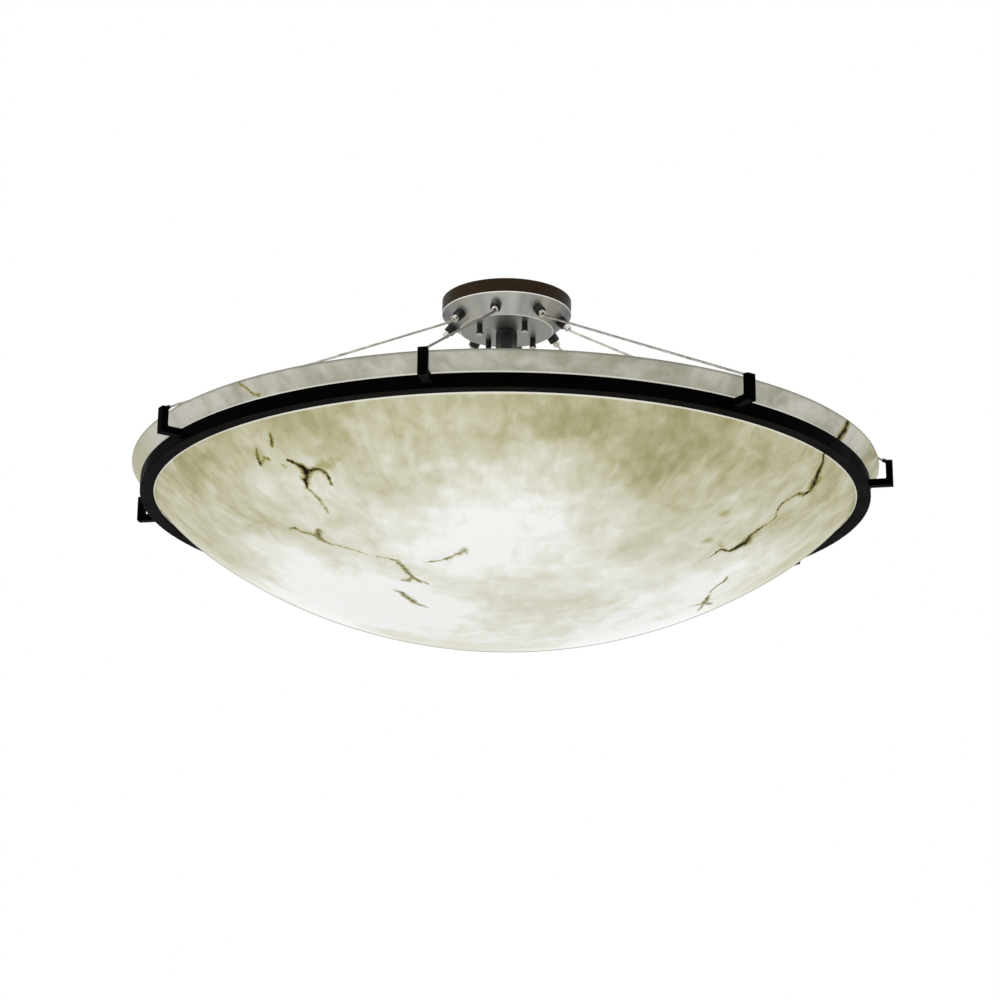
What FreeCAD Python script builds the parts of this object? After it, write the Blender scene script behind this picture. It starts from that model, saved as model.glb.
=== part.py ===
"""Semi flush ceiling light: a resin bowl in an angle ring, hung by steel cables from a round canopy.

Millimetres, +Z up. The origin is the centre of the ceiling face, and the light hangs below it.
A lengthwise piece is drawn in the XZ plane and turned about Z to its place round the light.
"""

import FreeCAD, Part
import Sketcher
import math
import os

doc = FreeCAD.newDocument("CeilingLight")

# ---------------------------------------------------------------- sizes
SIZES = {
    # bowl
    "bowl_diameter": 1219.2,
    "bowl_depth": 270,
    "bowl_wall": 7,
    "crown_ease": 48.48,
    "shoulder_ease": 355.52,
    "rim_land": 4,
    "lip_round": 2,
    "rim_drop": 311.5,
    # ring
    "ring_inset": 14,
    "ring_height": 22,
    "ring_leg": 4,
    "flange_width": 22,
    "flange_thickness": 3.5,
    "ring_edge": 0.8,
    "pad_width": 7,
    "pad_thickness": 1,
    "seat_gap": 0.1,
    # cables
    "cable_count": 8,
    "cable_diameter": 4,
    "rim_clearance": 1.2,
    "bend_radius": 24,
    "bend_lead": 5,
    "cable_tail": 26,
    "terminal_radius": 3.2,
    "terminal_length": 14,
    "terminal_seat": 8.5,
    "terminal_cap": 1,
    "terminal_taper": 1.5,
    "terminal_taper_depth": 0.6,
    # brackets
    "bar_width": 14,
    "bar_thickness": 11,
    "bracket_reach": 36.4,
    "arm_drop": 2.5,
    "bar_edge": 0.6,
    "elbow_round": 2,
    "screw_radius": 2.5,
    "screw_depth": 11,
    "screw_head_radius": 4.4,
    "screw_head_height": 3,
    "screw_head_edge": 1,
    # canopy
    "canopy_diameter": 217.6,
    "band_height": 23,
    "band_wall": 2.5,
    "band_edge": 0.6,
    "canopy_height": 52.4,
    "cone_width": 31,
    "dish_sheet": 2,
    "dish_edge": 1.2,
    "collar_height": 14,
    "disc_round": 1.5,
    # mounting plate and the studs that carry the canopy
    "plate_thickness": 3,
    "plate_inset": 10.8,
    "plate_bore_radius": 16,
    "lag_edge": 16,
    "lag_hole_radius": 3.3,
    "slot_spacing": 88.9,
    "slot_length": 14,
    "slot_width": 5,
    "stud_circle_radius": 54,
    "stud_radius": 3,
    "stud_head_radius": 5,
    "stud_head_height": 1.2,
    "stud_point": 0.5,
    "nut_height": 18,
    "nut_top_radius": 4.8,
    "nut_foot_radius": 5.9,
    "nut_thread_depth": 12,
    "nut_thread_spare": 1,
    "nut_edge": 1,
    "nut_foot_height": 3,
    "nut_knurl_start": 6,
    "nut_flutes": 12,
    "flute_radius": 0.7,
    "ground_screw_place": 62,
    "ground_screw_radius": 2,
    "ground_head_width": 2,
    "ground_head_height": 2.6,
    "ground_head_edge": 0.8,
    # cable grips
    "grip_inset": 16.8,
    "barrel_radius": 9,
    "barrel_length": 12.5,
    "barrel_edge": 1,
    "barrel_bore_gap": 0.5,
    "barrel_mouth": 5,
    "shank_radius": 5,
    "shank_length": 14,
    "plunger_radius": 5.8,
    "plunger_reach": 9,
    "plunger_stroke": 2.5,
    "stop_gap": 0.4,
    "shoulder_width": 1.2,
    "plunger_shoulder": 2,
    "plunger_round": 1,
    "plunger_bore_gap": 0.4,
    "plunger_flare": 1.2,
    "locknut_across": 15,
    "locknut_height": 4,
    "locknut_gap": 0.3,
    # stem and lamp cluster
    "stem_radius": 8.5,
    "stem_bore_radius": 6.3,
    "stem_length": 362,
    "stem_above": 12,
    "boss_across": 31,
    "boss_height": 46,
    "boss_chamfer": 2.5,
    "stem_locknut_across": 28,
    "stem_locknut_height": 6,
    "hub_radius": 42,
    "hub_height": 36,
    "hub_wall": 2,
    "hub_edge": 2,
    "hub_cover_thickness": 3,
    "hub_cover_spigot": 3,
    "hub_cover_edge": 1,
    "lamp_count": 4,
    "arm_radius": 6.4,
    "arm_bore_radius": 5,
    "arm_length": 105,
    "arm_inside_hub": 4,
    "arm_in_socket": 3,
    "socket_length": 56,
    "socket_wall": 6.7,
    "socket_collar": 5,
    "socket_cone": 14,
    "socket_edge": 1,
    "socket_well": 30,
    "bulb_neck_radius": 13.2,
    "bulb_neck_flare": 2,
    "bulb_neck_length": 1,
    "bulb_globe_radius": 33,
    "bulb_length": 122,
    "bulb_cap_length": 27,
    "bulb_shell": 1.5,
    "lead_radius": 3.6,
    "lead_above": 14,
    "lead_below": 4,
    # fits
    "thread_gap": 0.05,
    "slide_gap": 0.05,
    "face_gap": 0.05,
    "hole_gap": 0.1,
    "cut_over": 1,
}
FIRST_CABLE = -10.8  # degrees from the near side (-Y) towards +X
CABLE_STEP = 360.0 / SIZES["cable_count"]
LAMP_STEP = 360.0 / SIZES["lamp_count"]
STUD_COUNT = 4
LAG_COUNT = 4
VOLUME_TOLERANCE = 0.01  # of the cable's expected volume

sheet = doc.addObject("Spreadsheet::Sheet", "Sizes")
for row, (alias, number) in enumerate(SIZES.items(), 1):
    sheet.set(f"A{row}", alias)
    sheet.set(f"B{row}", str(number))
    sheet.setAlias(f"B{row}", alias)

# Places worked out from the sizes. The bowl's section is two arcs that meet in a tangent: a wide one
# for the crown, and a tighter one for the shoulder, which ends at the rim. Their radii are an ease more
# and an ease less than that of the one arc that would run from the foot to the rim.
PLACES = {
    "rim_radius": "Sizes.bowl_diameter / 2",
    "rim_level": "-Sizes.rim_drop",
    "land_level": "rim_level - Sizes.rim_land",
    "land_depth": "Sizes.bowl_depth - Sizes.rim_land",
    "one_arc_radius": "(rim_radius^2 / land_depth + land_depth) / 2",
    "crown_radius": "one_arc_radius + Sizes.crown_ease",
    "shoulder_radius": "one_arc_radius - Sizes.shoulder_ease",
    "crown_level": "rim_level - Sizes.bowl_depth + crown_radius",
    "arc_gap": "crown_radius - shoulder_radius",
    "arc_drop": "land_level - crown_level",
    "arc_span": "sqrt(rim_radius^2 + arc_drop^2)",
    "arc_along": "(arc_gap^2 - shoulder_radius^2 + arc_span^2) / (2 * arc_span)",
    "arc_aside": "sqrt(arc_gap^2 - arc_along^2)",
    "shoulder_x": "(rim_radius * arc_along + arc_drop * arc_aside) / arc_span",
    "shoulder_z": "crown_level + (arc_drop * arc_along - rim_radius * arc_aside) / arc_span",
    "outer_share": "crown_radius / arc_gap",
    "inner_share": "(crown_radius - Sizes.bowl_wall) / arc_gap",
    "inner_shoulder": "shoulder_radius - Sizes.bowl_wall",
    "inner_rim_x": "shoulder_x + sqrt(inner_shoulder^2 - (rim_level - shoulder_z)^2)",
    "bowl_foot": "rim_level - Sizes.bowl_depth",
    # the bowl rests on the inner top edge of the pad, and the pad on the ring's flange
    "ring_radius": "rim_radius - Sizes.ring_inset",
    "flange_radius": "ring_radius - Sizes.flange_width",
    "seat_reach": "shoulder_radius + Sizes.seat_gap",
    "seat_level": "shoulder_z - sqrt(seat_reach^2 - (flange_radius - shoulder_x)^2)",
    "flange_top": "seat_level - Sizes.pad_thickness",
    "ring_foot": "flange_top - Sizes.flange_thickness",
    "ring_top": "ring_foot + Sizes.ring_height",
    # canopy
    "band_radius": "Sizes.canopy_diameter / 2",
    "disc_radius": "band_radius - Sizes.cone_width",
    "plate_radius": "band_radius - Sizes.plate_inset",
    "lag_circle_radius": "plate_radius - Sizes.lag_edge",
    "grip_radius": "band_radius - Sizes.grip_inset",
    "disc_level": "-Sizes.canopy_height",
    "cone_top": "-Sizes.band_height - Sizes.dish_edge",
    "cone_run": "band_radius - disc_radius",
    "cone_drop": "cone_top - disc_level",
    "cone_length": "sqrt(cone_run^2 + cone_drop^2)",
    "normal_x": "cone_drop / cone_length",
    "normal_z": "-cone_run / cone_length",
    "sheet_corner": "Sizes.dish_sheet * (1 + normal_z) / normal_x",
    "collar_radius": "band_radius - Sizes.band_wall - Sizes.face_gap",
    "inner_collar": "collar_radius - Sizes.dish_sheet",
    "inner_cone_run": "band_radius - Sizes.dish_sheet * normal_x - inner_collar",
    "inner_cone_top": "cone_top - Sizes.dish_sheet * normal_z - inner_cone_run * cone_drop / cone_run",
    # the plunger's shoulder stops under the barrel's mouth, and its stroke ends above the barrel's floor
    "shoulder_top": "Sizes.barrel_length - Sizes.barrel_mouth - Sizes.hole_gap",
    "shoulder_foot": "shoulder_top - Sizes.plunger_shoulder",
    "barrel_floor": "shoulder_foot - Sizes.plunger_stroke - Sizes.stop_gap",
    # a cable leaves its grip square to the cone, bends, and passes just over the bowl's rim
    "grip_z": "cone_top - Sizes.grip_inset * cone_drop / cone_run",
    "tip_reach": "Sizes.barrel_length + Sizes.plunger_reach",
    "bend_reach": "tip_reach + Sizes.bend_lead",
    "bend_x": "grip_radius + bend_reach * normal_x",
    "bend_z": "grip_z + bend_reach * normal_z",
    "rim_run": "rim_radius - Sizes.lip_round - bend_x",
    "rim_fall": "rim_level - Sizes.lip_round - bend_z",
    "rim_span": "sqrt(rim_run^2 + rim_fall^2)",
    "rim_sine": "(Sizes.lip_round + Sizes.cable_diameter / 2 + Sizes.rim_clearance) / rim_span",
    "rim_cosine": "sqrt(1 - rim_sine^2)",
    "run_x": "(rim_run * rim_cosine - rim_fall * rim_sine) / rim_span",
    "run_z": "(rim_run * rim_sine + rim_fall * rim_cosine) / rim_span",
    # brackets
    "bracket_out": "ring_radius + Sizes.bracket_reach",
    "upright_in": "bracket_out - Sizes.bar_thickness",
    "entry_z": "bend_z + (upright_in - bend_x) * run_z / run_x",
    "arm_top": "ring_top - Sizes.arm_drop",
    "arm_foot": "arm_top - Sizes.bar_thickness",
    "arm_middle": "arm_top - Sizes.bar_thickness / 2",
    # lamp cluster
    "stem_top": "disc_level + Sizes.dish_sheet + Sizes.stem_locknut_height + Sizes.stem_above",
    "stem_foot": "stem_top - Sizes.stem_length",
    "hub_top": "stem_foot + Sizes.hub_wall + Sizes.stem_locknut_height",
    "arm_level": "hub_top - Sizes.hub_height / 2",
    "socket_start": "Sizes.hub_radius + Sizes.arm_length",
    "socket_mouth": "socket_start + Sizes.socket_length",
}
places = doc.addObject("Spreadsheet::Sheet", "Places")
for row, (alias, formula) in enumerate(PLACES.items(), 1):
    places.set(f"A{row}", alias)
    places.set(f"B{row}", "=" + formula)
    places.setAlias(f"B{row}", alias)
doc.recompute()


def size(alias):
    """The number in the driving sheet's cell."""
    return float(getattr(sheet, alias))


def place(alias):
    """The number that the sheet of places works out."""
    return float(getattr(places, alias))


def value(expression):
    """The number that an expression over the two sheets gives."""
    return float(sheet.evalExpression(expression))


# ---------------------------------------------------------------- helpers
def bind(obj, **expressions):
    """Tie the properties of an object to expressions over the sheets."""
    for name, expression in expressions.items():
        obj.setExpression(name, expression)
    return obj


def origin_plane(body, role):
    return next(feature for feature in body.Origin.OriginFeatures if feature.Role == role)


def new_sketch(body, name, role="XZ_Plane"):
    sketch = body.newObject("Sketcher::SketchObject", name)
    sketch.AttachmentSupport = [(origin_plane(body, role), "")]
    sketch.MapMode = "FlatFace"
    return sketch


def draw(sketch, corners):
    """Draw a closed outline. A corner is (x, z), or (x, z, radius, turn) where an arc follows it.

    Coordinates and radii are expressions. turn is 1 for an arc that runs anticlockwise, or -1.
    """
    points = [FreeCAD.Vector(value(c[0]), value(c[1]), 0) for c in corners]
    ends = []
    for index, corner in enumerate(corners):
        start, stop = points[index], points[(index + 1) % len(points)]
        if len(corner) == 2:
            edge = sketch.addGeometry(Part.LineSegment(start, stop), False)
            ends.append((edge, 1, 2))
            continue
        radius, turn = value(corner[2]), corner[3]
        chord = stop - start
        aside = FreeCAD.Vector(-chord.y, chord.x, 0).normalize() * turn
        centre = (start + stop) / 2 + aside * math.sqrt(radius**2 - (chord.Length / 2) ** 2)
        first, last = (start, stop) if turn > 0 else (stop, start)
        begin = math.atan2(first.y - centre.y, first.x - centre.x)
        finish = math.atan2(last.y - centre.y, last.x - centre.x)
        circle = Part.Circle(centre, FreeCAD.Vector(0, 0, 1), radius)
        arc = Part.ArcOfCircle(circle, begin, finish if finish > begin else finish + 2 * math.pi)
        edge = sketch.addGeometry(arc, False)
        ends.append((edge, 1, 2) if turn > 0 else (edge, 2, 1))
        number = sketch.addConstraint(Sketcher.Constraint("Radius", edge, radius))
        sketch.setExpression(f"Constraints[{number}]", corner[2])
    for index, (edge, start, _) in enumerate(ends):
        before, _, stop = ends[index - 1]
        sketch.addConstraint(Sketcher.Constraint("Coincident", before, stop, edge, start))
        x, z = corners[index][0], corners[index][1]
        for kind, axis, expression, number in (
            ("DistanceX", -2, x, points[index].x),
            ("DistanceY", -1, z, points[index].y),
        ):
            if expression == "0":
                sketch.addConstraint(Sketcher.Constraint("PointOnObject", edge, start, axis))
                continue
            made = sketch.addConstraint(Sketcher.Constraint(kind, -1, 1, edge, start, number))
            sketch.setExpression(f"Constraints[{made}]", expression)
    return sketch


def turned(name, corners):
    """A body turned about Z from an outline in the XZ plane."""
    body = doc.addObject("PartDesign::Body", name)
    sketch = draw(new_sketch(body, name + "_outline"), corners)
    revolution = body.newObject("PartDesign::Revolution", name + "_turn")
    revolution.Profile = sketch
    revolution.ReferenceAxis = (sketch, ["V_Axis"])
    revolution.Angle = 360
    body.Tip = revolution
    return body


def slab(name, corners, width):
    """A body of even width about the XZ plane, from an outline in it."""
    body = doc.addObject("PartDesign::Body", name)
    sketch = draw(new_sketch(body, name + "_outline"), corners)
    pad = body.newObject("PartDesign::Pad", name + "_pad")
    pad.Profile = sketch
    pad.Midplane = True
    bind(pad, Length=width)
    body.Tip = pad
    return body


def hexagon(name, across, low, high, bore, chamfer=None):
    """A hexagon nut or boss about Z, with a bore, and a turned chamfer on its top if one is given."""
    prism = doc.addObject("Part::Prism", name + "_hex")
    prism.Polygon = 6
    bind(prism, Circumradius=f"{across} / sqrt(3)", Height=f"({high}) - ({low})")
    prism.setExpression(".Placement.Base.z", low)
    hole = rod(
        name + "_bore", bore, f"({low}) - Sizes.cut_over", f"({high}) + Sizes.cut_over"
    )
    if chamfer is None:
        return cut(name, prism, [hole])
    cone = turned(
        name + "_cone",
        [
            ("0", low),
            (f"{across} / sqrt(3) + Sizes.cut_over", low),
            (f"{across} / sqrt(3) + Sizes.cut_over", f"({high}) - {chamfer} - Sizes.cut_over"),
            (f"{across} / sqrt(3) - {chamfer}", high),
            ("0", high),
        ],
    )
    blunt = doc.addObject("Part::Common", name + "_blunt")
    blunt.Base = prism
    blunt.Tool = cone
    return cut(name, blunt, [hole])


def rod(name, radius, low, high):
    """A round bar about Z from one level to another."""
    return turned(name, [("0", low), (radius, low), (radius, high), ("0", high)])


def cut(name, base, tools):
    """The base less the tools."""
    result = doc.addObject("Part::Cut", name)
    result.Base = base
    result.Tool = tools[0] if len(tools) == 1 else fuse(name + "_tools", tools)
    return result


def fuse(name, pieces):
    result = doc.addObject("Part::MultiFuse", name)
    result.Shapes = pieces
    return result


def group(name, pieces):
    """Identical pieces that share one node, as separate solids."""
    result = doc.addObject("Part::Compound", name)
    result.Links = pieces
    return result


def about_z(degrees):
    return FreeCAD.Rotation(FreeCAD.Vector(0, 0, 1), degrees)


def round_the_light(azimuth, radius=0.0, level=0.0, lean=0.0):
    """A place at an azimuth from the near side, with the piece's Z axis leaned outwards by an angle."""
    turn = FreeCAD.Placement(FreeCAD.Vector(0, 0, 0), about_z(azimuth - 90))
    shift = FreeCAD.Placement(
        FreeCAD.Vector(radius, 0, level), FreeCAD.Rotation(FreeCAD.Vector(0, 1, 0), lean)
    )
    return turn.multiply(shift)


def cable_azimuth(index):
    return FIRST_CABLE + CABLE_STEP * index


def lamp_azimuth(index):
    return LAMP_STEP * index


def stud_azimuth(index):
    return FIRST_CABLE + CABLE_STEP + 360.0 / STUD_COUNT * index


def lag_azimuth(index):
    return FIRST_CABLE + CABLE_STEP / 2 + 360.0 / LAG_COUNT * index


# A grip's Z axis points out of the cone; a cable's straight run and its terminal slope down outwards.
GRIP_LEAN = math.degrees(math.atan2(place("normal_x"), place("normal_z")))
RUN_LEAN = math.degrees(math.atan2(place("run_x"), place("run_z")))


def at_grip(index):
    return round_the_light(cable_azimuth(index), place("grip_radius"), place("grip_z"), GRIP_LEAN)


def at_terminal(index):
    return round_the_light(cable_azimuth(index), place("upright_in"), place("entry_z"), RUN_LEAN)


def at_arm(index):
    return round_the_light(cable_azimuth(index), place("ring_radius"), place("arm_middle"), 90)


def at_stud(index):
    return round_the_light(stud_azimuth(index), size("stud_circle_radius"))


def at_lamp(index):
    return round_the_light(lamp_azimuth(index), 0, place("arm_level"), 90)


def copies(name, make, where, count):
    """The pieces that make(name) gives, at the places that where(index) gives."""
    made = []
    for index in range(int(count)):
        piece = make(f"{name}_{index + 1}")
        piece.Placement = where(index).multiply(piece.Placement)
        made.append(piece)
    return made


parts = []


def keep(piece, label):
    """Name a finished piece. The label is its file's name."""
    piece.Label = label
    parts.append(piece)
    return piece


def keep_each(pieces, label):
    for number, piece in enumerate(pieces, 1):
        keep(piece, f"{label}_{number}")


# ---------------------------------------------------------------- bowl
def make_bowl():
    wall = "Sizes.bowl_wall"
    bowl = turned(
        "BowlBody",
        [
            ("0", "Places.bowl_foot", "Places.crown_radius", 1),
            (
                "Places.shoulder_x * Places.outer_share",
                "Places.crown_level + (Places.shoulder_z - Places.crown_level) * Places.outer_share",
                "Places.shoulder_radius",
                1,
            ),
            ("Places.rim_radius", "Places.land_level"),
            ("Places.rim_radius", "Places.rim_level - Sizes.lip_round", "Sizes.lip_round", 1),
            ("Places.rim_radius - Sizes.lip_round", "Places.rim_level"),
            ("Places.inner_rim_x", "Places.rim_level", "Places.inner_shoulder", -1),
            (
                "Places.shoulder_x * Places.inner_share",
                "Places.crown_level + (Places.shoulder_z - Places.crown_level) * Places.inner_share",
                f"Places.crown_radius - {wall}",
                -1,
            ),
            ("0", f"Places.bowl_foot + {wall}"),
        ],
    )
    keep(bowl, "bowl")


# ---------------------------------------------------------------- ring and pad
def make_ring():
    outer, top, foot = "Places.ring_radius", "Places.ring_top", "Places.ring_foot"
    edge = "Sizes.ring_edge"
    angle = turned(
        "RingBody",
        [
            ("Places.flange_radius", f"{foot} + {edge}"),
            (f"Places.flange_radius + {edge}", foot),
            (f"{outer} - {edge}", foot),
            (outer, f"{foot} + {edge}"),
            (outer, f"{top} - {edge}"),
            (f"{outer} - {edge}", top),
            (f"{outer} - Sizes.ring_leg", top),
            (f"{outer} - Sizes.ring_leg", "Places.flange_top"),
            ("Places.flange_radius", "Places.flange_top"),
        ],
    )
    holes = copies(
        "RingHole",
        lambda name: rod(
            name,
            "Sizes.screw_radius + Sizes.hole_gap",
            "-Sizes.ring_leg - Sizes.cut_over",
            "Sizes.cut_over",
        ),
        at_arm,
        SIZES["cable_count"],
    )
    keep(cut("Ring", angle, holes), "ring")

    pad_outer = "Places.flange_radius + Sizes.pad_width"
    pad = turned(
        "RingPad",
        [
            ("Places.flange_radius", "Places.flange_top"),
            (pad_outer, "Places.flange_top"),
            (pad_outer, "Places.seat_level"),
            ("Places.flange_radius", "Places.seat_level"),
        ],
    )
    keep(pad, "ring_pad")


# ---------------------------------------------------------------- brackets
def bracket_bar(name):
    """An L of flat bar: an arm out from the ring, and an upright."""
    start, out = "Places.ring_radius", "Places.bracket_out"
    top, foot, edge = "Places.entry_z", "Places.arm_foot", "Sizes.bar_edge"
    bend = "Sizes.elbow_round"
    bar = slab(
        name + "_bar",
        [
            (start, foot),
            (f"{out} - {edge}", foot),
            (out, f"{foot} + {edge}"),
            (out, f"{top} - {edge}"),
            (f"{out} - {edge}", top),
            (f"Places.upright_in + {edge}", top),
            ("Places.upright_in", f"{top} - {edge}"),
            ("Places.upright_in", f"Places.arm_top + {bend}", bend, -1),
            (f"Places.upright_in - {bend}", "Places.arm_top"),
            (start, "Places.arm_top"),
        ],
        "Sizes.bar_width",
    )
    socket = rod(
        name + "_socket",
        "Sizes.terminal_radius + Sizes.thread_gap",
        "-Sizes.terminal_length",
        "Sizes.terminal_seat + Sizes.face_gap",
    )
    socket.Placement = round_the_light(90, place("upright_in"), place("entry_z"), RUN_LEAN)
    tapping = rod(
        name + "_tapping",
        "Sizes.screw_radius + Sizes.thread_gap",
        "-Sizes.cut_over",
        "Sizes.screw_depth + Sizes.cut_over",
    )
    tapping.Placement = round_the_light(90, place("ring_radius"), place("arm_middle"), 90)
    return cut(name, bar, [socket, tapping])


def bracket_screw(name):
    """A pan head screw from inside the ring's leg into the arm's end."""
    leg, head = "Sizes.ring_leg + Sizes.face_gap", "Sizes.screw_head_height"
    return turned(
        name,
        [
            ("0", f"-({leg}) - {head}"),
            ("Sizes.screw_head_radius - Sizes.screw_head_edge", f"-({leg}) - {head}"),
            ("Sizes.screw_head_radius", f"-({leg}) - {head} + Sizes.screw_head_edge"),
            ("Sizes.screw_head_radius", f"-({leg})"),
            ("Sizes.screw_radius", f"-({leg})"),
            ("Sizes.screw_radius", "Sizes.screw_depth"),
            ("0", "Sizes.screw_depth"),
        ],
    )


def make_brackets():
    turned_in = copies(
        "Bracket", bracket_bar, lambda i: round_the_light(cable_azimuth(i)), SIZES["cable_count"]
    )
    keep_each(turned_in, "bracket")
    screws = copies("BracketScrew", bracket_screw, at_arm, SIZES["cable_count"])
    keep(group("BracketScrews", screws), "bracket_screws")


# ---------------------------------------------------------------- canopy
def make_canopy():
    band = turned(
        "CanopyBand",
        [
            ("Places.band_radius - Sizes.band_wall", "-Sizes.band_height"),
            ("Places.band_radius - Sizes.band_edge", "-Sizes.band_height"),
            ("Places.band_radius", "-Sizes.band_height + Sizes.band_edge"),
            ("Places.band_radius", "0"),
            ("Places.band_radius - Sizes.band_wall", "0"),
        ],
    )
    keep(band, "canopy_band")

    collar = "Places.collar_radius"
    disc, level, sheet_ = "Places.disc_radius", "Places.disc_level", "Sizes.dish_sheet"
    round_ = "Sizes.disc_round"
    dish = turned(
        "CanopyDishBody",
        [
            ("Sizes.stem_radius + Sizes.hole_gap", level),
            (f"{disc} - {round_}", level),
            (
                f"{disc} + {round_} * Places.cone_run / Places.cone_length",
                f"{level} + {round_} * Places.cone_drop / Places.cone_length",
            ),
            ("Places.band_radius", "Places.cone_top"),
            ("Places.band_radius", "-Sizes.band_height - Sizes.face_gap"),
            (collar, "-Sizes.band_height - Sizes.face_gap"),
            (collar, "-Sizes.band_height + Sizes.collar_height"),
            ("Places.inner_collar", "-Sizes.band_height + Sizes.collar_height"),
            ("Places.inner_collar", "Places.inner_cone_top"),
            (f"{disc} - Places.sheet_corner", f"{level} + {sheet_}"),
            ("Sizes.stem_radius + Sizes.hole_gap", f"{level} + {sheet_}"),
        ],
    )
    holes = copies(
        "GripHole",
        lambda name: rod(
            name,
            "Sizes.shank_radius + Sizes.hole_gap",
            "-Sizes.dish_sheet - Sizes.cut_over",
            "Sizes.cut_over",
        ),
        at_grip,
        SIZES["cable_count"],
    )
    holes += copies(
        "StudHole",
        lambda name: rod(
            name,
            "Sizes.stud_radius + Sizes.hole_gap",
            "Places.disc_level - Sizes.cut_over",
            "Places.disc_level + Sizes.dish_sheet + Sizes.cut_over",
        ),
        at_stud,
        STUD_COUNT,
    )
    keep(cut("CanopyDish", dish, holes), "canopy_dish")


def canopy_stud(name):
    """A clinch stud: its head lies in the plate's top, and its thread ends inside the thumb nut."""
    foot = "Places.disc_level - Sizes.nut_thread_depth + Sizes.nut_thread_spare"
    return turned(
        name,
        [
            ("0", foot),
            ("Sizes.stud_radius - Sizes.stud_point", foot),
            ("Sizes.stud_radius", f"{foot} + Sizes.stud_point"),
            ("Sizes.stud_radius", "-Sizes.stud_head_height - Sizes.face_gap"),
            ("Sizes.stud_head_radius", "-Sizes.stud_head_height - Sizes.face_gap"),
            ("Sizes.stud_head_radius", "-Sizes.face_gap"),
            ("0", "-Sizes.face_gap"),
        ],
    )


def thumb_nut(name):
    """A knurled cap nut, a little wider at its foot."""
    top, foot = "Places.disc_level - Sizes.face_gap", "Places.disc_level - Sizes.nut_height"
    thread = "Sizes.stud_radius + Sizes.thread_gap"
    body = turned(
        name,
        [
            ("0", foot),
            ("Sizes.nut_foot_radius - Sizes.nut_edge", foot),
            ("Sizes.nut_foot_radius", f"{foot} + Sizes.nut_edge"),
            ("Sizes.nut_foot_radius", f"{foot} + Sizes.nut_foot_height"),
            ("Sizes.nut_top_radius", f"{foot} + Sizes.nut_knurl_start"),
            ("Sizes.nut_top_radius", top),
            (thread, top),
            (thread, "Places.disc_level - Sizes.nut_thread_depth"),
            ("0", "Places.disc_level - Sizes.nut_thread_depth"),
        ],
    )
    sketch = new_sketch(body, name + "_flute", "XY_Plane")
    circle = Part.Circle(
        FreeCAD.Vector(size("nut_top_radius"), 0, 0), FreeCAD.Vector(0, 0, 1), size("flute_radius")
    )
    edge = sketch.addGeometry(circle, False)
    sketch.addConstraint(Sketcher.Constraint("PointOnObject", edge, 3, -1))
    reach = sketch.addConstraint(
        Sketcher.Constraint("DistanceX", -1, 1, edge, 3, size("nut_top_radius"))
    )
    sketch.setExpression(f"Constraints[{reach}]", "Sizes.nut_top_radius")
    width = sketch.addConstraint(Sketcher.Constraint("Radius", edge, size("flute_radius")))
    sketch.setExpression(f"Constraints[{width}]", "Sizes.flute_radius")
    sketch.setExpression(".AttachmentOffset.Base.z", f"{foot} + Sizes.nut_knurl_start")
    pocket = body.newObject("PartDesign::Pocket", name + "_flutes")
    pocket.Profile = sketch
    pocket.Reversed = True
    bind(pocket, Length="Sizes.nut_height")
    ring = body.newObject("PartDesign::PolarPattern", name + "_knurl")
    ring.Originals = [pocket]
    ring.Axis = (sketch, ["N_Axis"])
    ring.Angle = 360
    bind(ring, Occurrences="Sizes.nut_flutes")
    body.Tip = ring
    return body


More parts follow.
